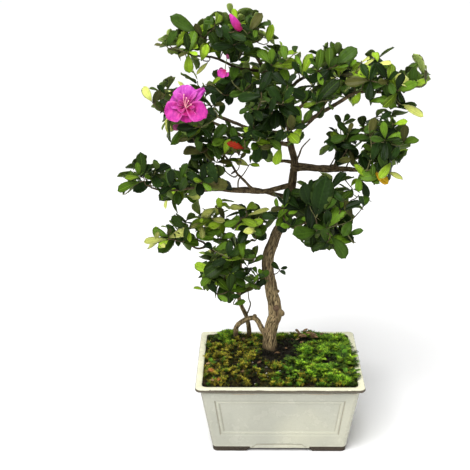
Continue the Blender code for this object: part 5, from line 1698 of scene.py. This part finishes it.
class FoliageMaker(bpy.types.Operator):
    """Build the twigs and leaves of every foliage mass"""

    bl_idname = "azalea.foliage"
    bl_label = "Foliage"

    def execute(self, context):
        looks = context.scene.azalea_leaf
        self.count = looks.leaves
        self.crown = Crown()
        self.kinds = [leaf_kind(random.Random(f"leaf_{number}")) for number in range(LEAF_KINDS)]
        finishes = self.leaf_finishes(looks)
        young_bark = bark_material(context.scene.azalea_bark, "twig_bark")
        green_twig = plain_finish("green_twig", (0.12, 0.12, 0.035), 0.6, 600, 0.1, 0.4)
        small_twigs, small_leaves = Gathering(), Gathering()
        self.grow_on_boughs(small_twigs, small_leaves)
        for part, masses in CROWN.items():
            self.twigs, self.leaves = Gathering(), Gathering()
            for name, mass in masses.items():
                self.grow(name, mass)
            nodes = ["foliage_" + name for name in masses]
            self.leaves.build("leaves_" + part, finishes, nodes, "leaves")
            self.twigs.build("twigs_" + part, [young_bark, green_twig], (), "bark")
        small_twigs.build("twigs_on_boughs", [young_bark], (), "bark")
        small_leaves.build("leaves_on_boughs", finishes, (), "leaves")
        return {"FINISHED"}

    def grow_on_boughs(self, twigs, leaves):
        """The small twigs on the limbs, each with the few leaves at its end."""
        self.draws, self.leaves = random.Random("small twigs"), leaves
        for limb, width, places, tones in SMALL_TWIGS:
            line = smooth_line(self.crown.footed(limb, places, width), 2.0)
            twig_shape(twigs, line, 7)
            way = Vector(line[-1][:3] - line[-2][:3]).normalized()
            self.crown.spray += 1
            for leaf in fan(Vector(places[-1]), way, SMALL_LEAF, tones, self.draws):
                self.put(leaf)

    def grow(self, name, mass):
        """One mass: its stem, the leaves and sprays seen on it, then the sprays that fill it."""
        self.mass, self.draws = mass, random.Random("foliage_" + name)
        stem = mass_stem(mass, self.crown.limbs)
        twig_shape(self.twigs, stem, STEM_SIDES)
        self.nodes = branch_nodes(stem)
        self.places, self.half_widths = self.crown.wood(mass.centre, max(mass.radii) + WOOD_REACH)
        self.crown.spray += 1
        for right, rise, way, length, width, tone in SINGLE_LEAVES.get(name, ()):
            root, way = front_place(mass, right, rise), Vector(way).normalized()
            self.hang(root, way, [Leaf(root, way, FACING, length, width, TONES.index(tone))])
        hidden = [self.front_spray(*spray) for spray in SPRAYS.get(name, ())]
        self.fill(hidden)

    def front_spray(self, right, rise, tones):
        """A spray at the open side, and the place behind it where a hidden one grows."""
        centre = Vector(self.mass.centre)
        hub = front_place(self.mass, right, rise)
        way = (hub - centre).normalized().lerp(UP, SPRAY_LIFT).normalized()
        self.crown.spray += 1
        leaves = [self.roomy(leaf) for leaf in fan(hub, way, self.mass.leaf, tones, self.draws)]
        grown = [leaf for leaf in leaves if leaf]
        if grown:
            self.hang(hub, way, grown)
        behind = (hub.x, 2 * centre.y - hub.y + HIDDEN_BACK, hub.z - HIDDEN_DROP)
        return Vector(behind) + stray(self.draws, FILL_STRAY)

    def roomy(self, leaf):
        """The leaf, turned aside where it would meet another and made smaller where it has to be."""
        fitted = self.fitted(leaf, True)
        for _ in range(TURN_TRIES):
            if fitted:
                return fitted
            way = (leaf.way + stray(self.draws, LEAF_STRAY)).normalized()
            fitted = self.fitted(leaf._replace(way=way), True)
        return fitted or self.fitted(leaf, False)

    def fill(self, hidden):
        """The sprays behind the ones that are seen, or all of them where none is."""
        mass, draws = self.mass, self.draws
        centre = Vector(mass.centre)
        tips = [(place, (place - centre).normalized().lerp(UP, FILL_LIFT).normalized()) for place in hidden]
        tips += shoot_tips(mass, draws, mass.shoots, INNER_SHARE)
        if not hidden:
            tips += shoot_tips(mass, draws, mass.shoots, OUTER_SHARE)
            tips += shoot_tips(mass, draws, mass.shoots + 1)
        for k, (tip, way) in enumerate(tips):
            inner = hidden and k >= len(hidden)
            # Inner sprays take the mass's first and darkest tone, as painted shade deep in the crown
            tone = TONES.index(mass.tones[0] if inner else draws.choice(mass.tones))
            self.crown.spray += 1
            leaves = whorl(tip, way, mass.leaf * FILL_SIZE, self.count, tone, draws)
            grown = [leaf for leaf in (self.fitted(leaf, True) for leaf in leaves) if leaf]
            if len(grown) > 1:
                self.hang(tip, way, grown)

    def hang(self, tip, way, grown):
        """A twig to a tip, which later twigs may branch from, and the leaves that grow there."""
        line = grow_twig(self.nodes, tip, way)
        self.nodes += branch_nodes(line)[1:]
        twig_shape(self.twigs, line, TWIG_SIDES, 0 if self.draws.random() < BROWN_TWIGS else 1)
        for leaf in grown:
            self.put(leaf)

    def put(self, leaf):
        """Keep a leaf's room and add its shape, with its underside in the paler finish."""
        self.crown.keep(leaf)
        kind = self.draws.choice(self.kinds)
        points = place_leaf(kind, leaf.root, leaf.way, leaf.up, leaf.length, leaf.width)
        below = len(TONES) + (1 if leaf.tone in PALE_BELOW else 0)
        finish = np.where(kind.under == 1, below, leaf.tone)
        self.leaves.add(points, kind.faces, finish, kind.marks + (0, 0, self.draws.random()))

    def fitted(self, leaf, apart):
        """The leaf, made smaller where it has to be, or None where it has no room."""
        for shrink in LEAF_SHRINKS:
            tried = leaf._replace(length=leaf.length * shrink, width=leaf.width * shrink)
            if self.fits(tried) and not (apart and self.crown.crossed(tried)):
                return tried
        return None

    def fits(self, leaf):
        """True where a leaf is within the mass's space, clear of limbs and out of the openings."""
        samples = np.array([tuple(point) for point in leaf_outline(leaf)[0]])
        seen = EYE + (samples - EYE) * (EYE[1] / (EYE[1] - samples[:, 1:2]))
        for x, height, radius in OPENINGS:
            if (np.hypot(seen[:, 0] - x, seen[:, 2] - height) < radius).any():
                return False
        for x, height, radius, back in BLOSSOM_ROOM:
            over = np.hypot(samples[:, 0] - x, samples[:, 2] - height) < radius
            if (over & (samples[:, 1] < back)).any():
                return False
        if (np.linalg.norm((samples - self.mass.centre) / self.mass.radii, axis=1) > SPACE_SLACK).any():
            return False
        if not len(self.places):
            return True
        gaps = np.linalg.norm(samples[:, None] - self.places[None], axis=2) - self.half_widths
        return gaps.min() >= LIMB_MARGIN

    def leaf_finishes(self, looks):
        """The leaves' tones in their order, then the undersides: colour, rim, its strength, roughness."""
        finishes = (
            ("leaf_dark", looks.dark, RIMS[0], 0.5, 0.36),
            ("leaf_deep", looks.deep, RIMS[1], 0.5, 0.36),
            ("leaf_mid", looks.mid, RIMS[2], 0.5, 0.36),
            ("leaf_young", looks.young, RIMS[3], 0.6, 0.36),
            ("leaf_lime", looks.lime, RIMS[4], 0.9, 0.36),
            ("leaf_bronze", (0.055, 0.056, 0.013), RIMS[2], 0.6, 0.36),
            ("leaf_red", (0.24, 0.020, 0.008), (0.36, 0.06, 0.012), 0.3, 0.36),
            ("leaf_orange", (0.85, 0.36, 0.015), (0.9, 0.5, 0.05), 0.3, 0.36),
            ("underside_grown", (0.075, 0.115, 0.024), RIMS[2], 0.4, 0.6),
            ("underside_young", (0.24, 0.32, 0.08), RIMS[4], 0.6, 0.6),
        )
        return [self.leaf_finish(*finish) for finish in finishes]

    def leaf_finish(self, name, colour, rim, rimmed, roughness):
        """A glossy leaf with a pale midrib, faint veins, a lighter margin and painted shade towards its
        base.
        """
        r = Recipe(name, roughness, specular=0.10)
        across, along, shade = r.mark(0), r.mark(1), r.mark(2)
        mottle = r.noise(220, 3)
        base = r.mottled(shade, colour, 0.28, 1.85)
        base = r.mix(r.span(mottle, 0.4, 0.7, 0.0, 0.5), base, shaded(colour, 0.6))
        slant = r.math("SUBTRACT", along, r.times(across, 0.18))
        veins = r.math("SINE", r.times(slant, VEINS))
        base = r.mix(r.span(veins, 0.55, 1.0, 0.0, 0.2), base, shaded(colour, 1.8))
        base = r.mix(r.span(across, 0.02, 0.10, 0.4, 0.0), base, shaded(colour, 2.4))
        edge = r.math("ADD", across, r.times(mottle, 0.3))
        edge = r.times(r.span(edge, 0.88, 1.16), r.span(shade, 0.1, 0.8, 0.25, 1.0))
        base = r.mix(r.times(edge, rimmed), base, rim)
        # Painted shade: darker towards the leaf's base by the stem
        r.colour(r.mix(r.span(along, 0.0, 0.5, 0.6, 0.0), base, shaded(colour, 0.25)))
        r.bump(r.math("ADD", r.span(across, 0.0, 0.16), r.times(veins, 0.10)), 0.35, 0.7)
        return r.material


class BlossomMaker(bpy.types.Operator):
    """Build the open bloom with its stamens, the bud and the loose petals"""

    bl_idname = "azalea.blossom"
    bl_label = "Blossom"

    def execute(self, context):
        looks = context.scene.azalea_blossom
        self.draws = random.Random("blossom")
        self.blossom = Gathering()
        self.bloom(looks.width / TO_METRES / 2)
        self.bud(*BUD)
        for place, way, size, finish in LOOSE_PETALS:
            self.petal(Vector(place), Vector(way).normalized(), LOOSE_FACING, size, size, finish=finish)
        for start, end, width in STALKS:
            start, end = Vector(start), Vector(end)
            line = bent_line(start, UP, end, (end - start).normalized(), width, width * 0.8, 3.0)
            twig_shape(self.blossom, line, 6, 2)
        finishes = [
            self.silk(looks),
            plain_finish("stamen", (0.88, 0.36, 0.42), 0.5, 400, 0.05, 0.12),
            plain_finish("flower_stalk", (0.10, 0.12, 0.03), 0.6, 600, 0.1, 0.3),
            plain_finish("faded_petal", (0.20, 0.015, 0.09), 0.6, 300, 0.2, 0.35),
        ]
        self.blossom.build("blossom", finishes, (), "leaves")
        return {"FINISHED"}

    def petal(self, root, way, up, length, width, cup=0.2, ruffle=1.0, finish=0, top_light=0.3, reddened=1.0):
        """A broad petal with a waved rim and a notch at its tip."""
        side, up = square_to(way, up)
        rows, columns = PETAL_GRID
        phase, waves = self.draws.uniform(0, 6.28), self.draws.uniform(5, 8)
        points, marks = [], []
        for layer in (0, 1):
            for row in range(rows):
                along = row / (rows - 1)
                half = width / 2 * (0.16 + 0.84 * math.sin(math.pi / 2 * min(1, along * 1.35)) ** 1.2)
                half *= 1 - 0.35 * max(0.0, along - 0.8) / 0.2
                for column in range(columns):
                    across = 2 * column / (columns - 1) - 1
                    reach = along * (1 - 0.16 * across**2) - 0.05 * along**4 * math.exp(-(across * 5) ** 2)
                    wave = math.sin(waves * across + phase) * along**2 * (0.4 + 0.6 * abs(across))
                    lift = cup * length * (along**1.5 * 0.2 - along**3 * 0.45)
                    lift += cup * abs(across) ** 2 * width * 0.4
                    lift += ruffle * length * 0.075 * wave - PETAL_THICK * layer
                    points.append(root + way * length * reach + side * half * across + up * lift)
                    marks.append((abs(across), along * reddened, top_light))
        count = rows * columns
        top = ring_faces(rows, columns, closed=False)
        faces = [face[::-1] for face in top] + [tuple(corner + count for corner in face) for face in top]
        rim = grid_rim(rows, columns)
        for start, end in zip(rim, rim[1:] + rim[:1]):
            faces.append((start, end, end + count, start + count))
        self.blossom.add(points, faces, finish, marks)

    def bloom(self, radius):
        """Two rings of petals round a throat, with curved stamens."""
        middle, facing = BLOOM_MIDDLE, BLOOM_WAY
        across = (Vector((1, 0, 0)) - facing * facing.x).normalized()
        other = facing.cross(across)
        for angle, reach, wide, rise, cup, ruffle in BLOOM_PETALS:
            turn = math.radians(angle)
            out = across * math.cos(turn) + other * math.sin(turn)
            way = (out + facing * rise).normalized()
            root = middle - facing * 3.5 + out * 1.5
            # Upward-facing petals take more painted light
            tint = {"top_light": 0.5 + 0.5 * math.sin(turn), "reddened": min(1.0, reach)}
            self.petal(root, way, facing, radius * reach, radius * wide, cup, ruffle, **tint)
        for k in range(STAMENS):
            start = middle - facing * 2 - other * 3
            end = middle + facing * self.draws.uniform(6, 9)
            end = end + across * (2.6 * k - 1) + other * (11 - 3.4 * k)
            line = bent_line(start, facing, end, (end - start + across * 5).normalized(), 0.9, 0.7, 2.0)
            twig_shape(self.blossom, line, 5, 1)
            knob(self.blossom, end, (0.75, 0.75, 0.9), k, 1)

    def bud(self, middle, way, length, radius):
        """A closed bud of petals that wind round each other."""
        across = way.orthogonal().normalized()
        other = way.cross(across)
        rings, sides = BUD_GRID
        points, marks = [], []
        for ring in range(rings):
            along = ring / (rings - 1)
            wide = radius * math.sin(math.pi * (0.10 + 0.86 * along) ** 0.8) ** 0.8
            for turn in turns(sides):
                pleat = 1 + 0.13 * abs(math.sin(1.5 * turn + 2.2 * along))
                out = across * math.cos(turn) + other * math.sin(turn)
                points.append(middle + way * length * (along - 0.5) + out * wide * pleat)
                marks.append((0.4, 0.08 + 0.6 * along, 0.4))
        faces = closed_tube(points, rings, sides)
        self.blossom.add(points, faces, 0, marks + [marks[0], marks[-1]])

    def silk(self, looks):
        """Magenta petals, paler at the rim and deep in the throat, with fine veins, painted paler and bluer
        on the upper petals as light from above.
        """
        r = Recipe("petal_silk", 0.5, specular=0.2, sheen=0.05)
        across, along = r.mark(0), r.mark(1)
        streak = r.noise(300, 3, 0.6, r.stretched((1, 1, 0.5)))
        veined = r.span(streak, 0.3, 0.75)
        # Painted light: upper petals paler and lilac as lit from above, lower ones deeper pink
        low = r.mix(veined, shaded(looks.petal, 0.78), (0.68, 0.026, 0.32))
        high = r.mix(veined, (0.40, 0.026, 0.36), (0.64, 0.12, 0.55))
        petal = r.mix(r.mark(2), low, high)
        petal = r.mix(r.span(along, 0.05, 0.68, 0.95, 0.0), petal, looks.throat)
        r.colour(r.mix(r.span(across, 0.75, 1.0, 0.0, 0.4), petal, (0.82, 0.17, 0.58)))
        r.bump(streak, 0.35)
        return r.material


class StageMaker(bpy.types.Operator):
    """Build the floor, the lights and the camera"""

    bl_idname = "azalea.stage"
    bl_label = "Stage"

    def execute(self, context):
        looks = context.scene.azalea_stage
        scene = context.scene
        floor_mesh = bpy.data.meshes.new("floor")
        ways = [Vector((math.cos(turn), math.sin(turn), 0)) for turn in turns(FLOOR_SIDES)]
        floor_mesh.from_pydata([way * FLOOR_RADIUS for way in ways], [], [tuple(range(FLOOR_SIDES))])
        floor_mesh.materials.append(plain_finish("pale_floor", looks.floor, 0.8, 3, 0.0, 0.004))
        floor = show("floor", floor_mesh)

        self.backdrop(scene)
        scene.view_settings.view_transform = "Standard"
        self.light("daylight", "SUN", DAYLIGHT, (0, 0, 0), energy=3.0, angle=math.radians(42))
        for name, place, size, power in SOFTBOXES:
            self.light(name, "AREA", place, LIGHT_AIM, shape="SQUARE", size=size, energy=power)
        self.camera(looks)
        return {"FINISHED"}

    def backdrop(self, scene):
        """A studio wall that is white at the horizon and dimmer overhead."""
        world = bpy.data.worlds.new("studio")
        world.use_nodes = True
        nodes, links = world.node_tree.nodes, world.node_tree.links
        place = nodes.new("ShaderNodeTexCoord").outputs["Generated"]
        split = nodes.new("ShaderNodeSeparateXYZ")
        links.new(place, split.inputs[0])
        dimming = nodes.new("ShaderNodeMapRange")
        for key, value in WALL_FADE.items():
            dimming.inputs[key].default_value = value
        links.new(split.outputs[2], dimming.inputs["Value"])
        nodes["Background"].inputs["Color"].default_value = (1.0, 1.0, 0.985, 1)
        links.new(dimming.outputs[0], nodes["Background"].inputs["Strength"])
        scene.world = world

    def light(self, name, kind, place, aim, **settings):
        """A soft light at a place, turned to face its aim."""
        lamp = bpy.data.lights.new(name, kind)
        for setting, value in settings.items():
            setattr(lamp, setting, value)
        made = show(name, lamp)
        made.location = place
        made.rotation_euler = (Vector(place) - Vector(aim)).to_track_quat("Z", "Y").to_euler()

    def camera(self, looks):
        """The camera, a little above the crown and looking down at it."""
        pitch, yaw, roll = (math.radians(angle) for angle in EYE_TURN)
        ahead = Vector((math.sin(yaw) * math.cos(pitch), math.cos(yaw) * math.cos(pitch), -math.sin(pitch)))
        right = ahead.cross(UP).normalized()
        above = right.cross(ahead)
        turned = right * math.cos(roll) + above * math.sin(roll)
        above = above * math.cos(roll) - right * math.sin(roll)
        lens = bpy.data.cameras.new("camera")
        lens.lens = looks.lens
        lens.sensor_width = 36
        lens.sensor_fit = "HORIZONTAL"
        lens.clip_start, lens.clip_end = 0.05, 60
        made = show("camera", lens)
        turn = Matrix((turned, above, -ahead)).transposed().to_4x4()
        made.matrix_world = Matrix.Translation(Vector(EYE * TO_METRES)) @ turn
        bpy.context.scene.camera = made


class AzaleaPanel(bpy.types.Panel):
    """Sizes, colours and build steps of the azalea"""

    bl_idname = "VIEW3D_PT_azalea"
    bl_label = "Azalea bonsai"
    bl_space_type = "VIEW_3D"
    bl_region_type = "UI"
    bl_category = "Azalea"

    def draw(self, context):
        for name, group, maker in STEPS:
            box = self.layout.box()
            looks = getattr(context.scene, "azalea_" + name)
            for field in group.__annotations__:
                box.prop(looks, field)
            box.operator(maker.bl_idname)


STEPS = (
    ("pot", PotLooks, PotMaker),
    ("soil", SoilLooks, SoilMaker),
    ("bark", BarkLooks, LimbMaker),
    ("leaf", LeafLooks, FoliageMaker),
    ("blossom", BlossomLooks, BlossomMaker),
    ("stage", StageLooks, StageMaker),
)


def register():
    for name, group, maker in STEPS:
        bpy.utils.register_class(group)
        bpy.utils.register_class(maker)
        setattr(bpy.types.Scene, "azalea_" + name, PointerProperty(type=group))
    bpy.utils.register_class(AzaleaPanel)


def unregister():
    bpy.utils.unregister_class(AzaleaPanel)
    for name, group, maker in reversed(STEPS):
        delattr(bpy.types.Scene, "azalea_" + name)
        bpy.utils.unregister_class(maker)
        bpy.utils.unregister_class(group)


def main():
    """Build everything in order."""
    register()
    bpy.ops.azalea.pot()
    bpy.ops.azalea.soil()
    bpy.ops.azalea.limbs()
    bpy.ops.azalea.foliage()
    bpy.ops.azalea.blossom()
    bpy.ops.azalea.stage()


if __name__ == "__main__":
    main()
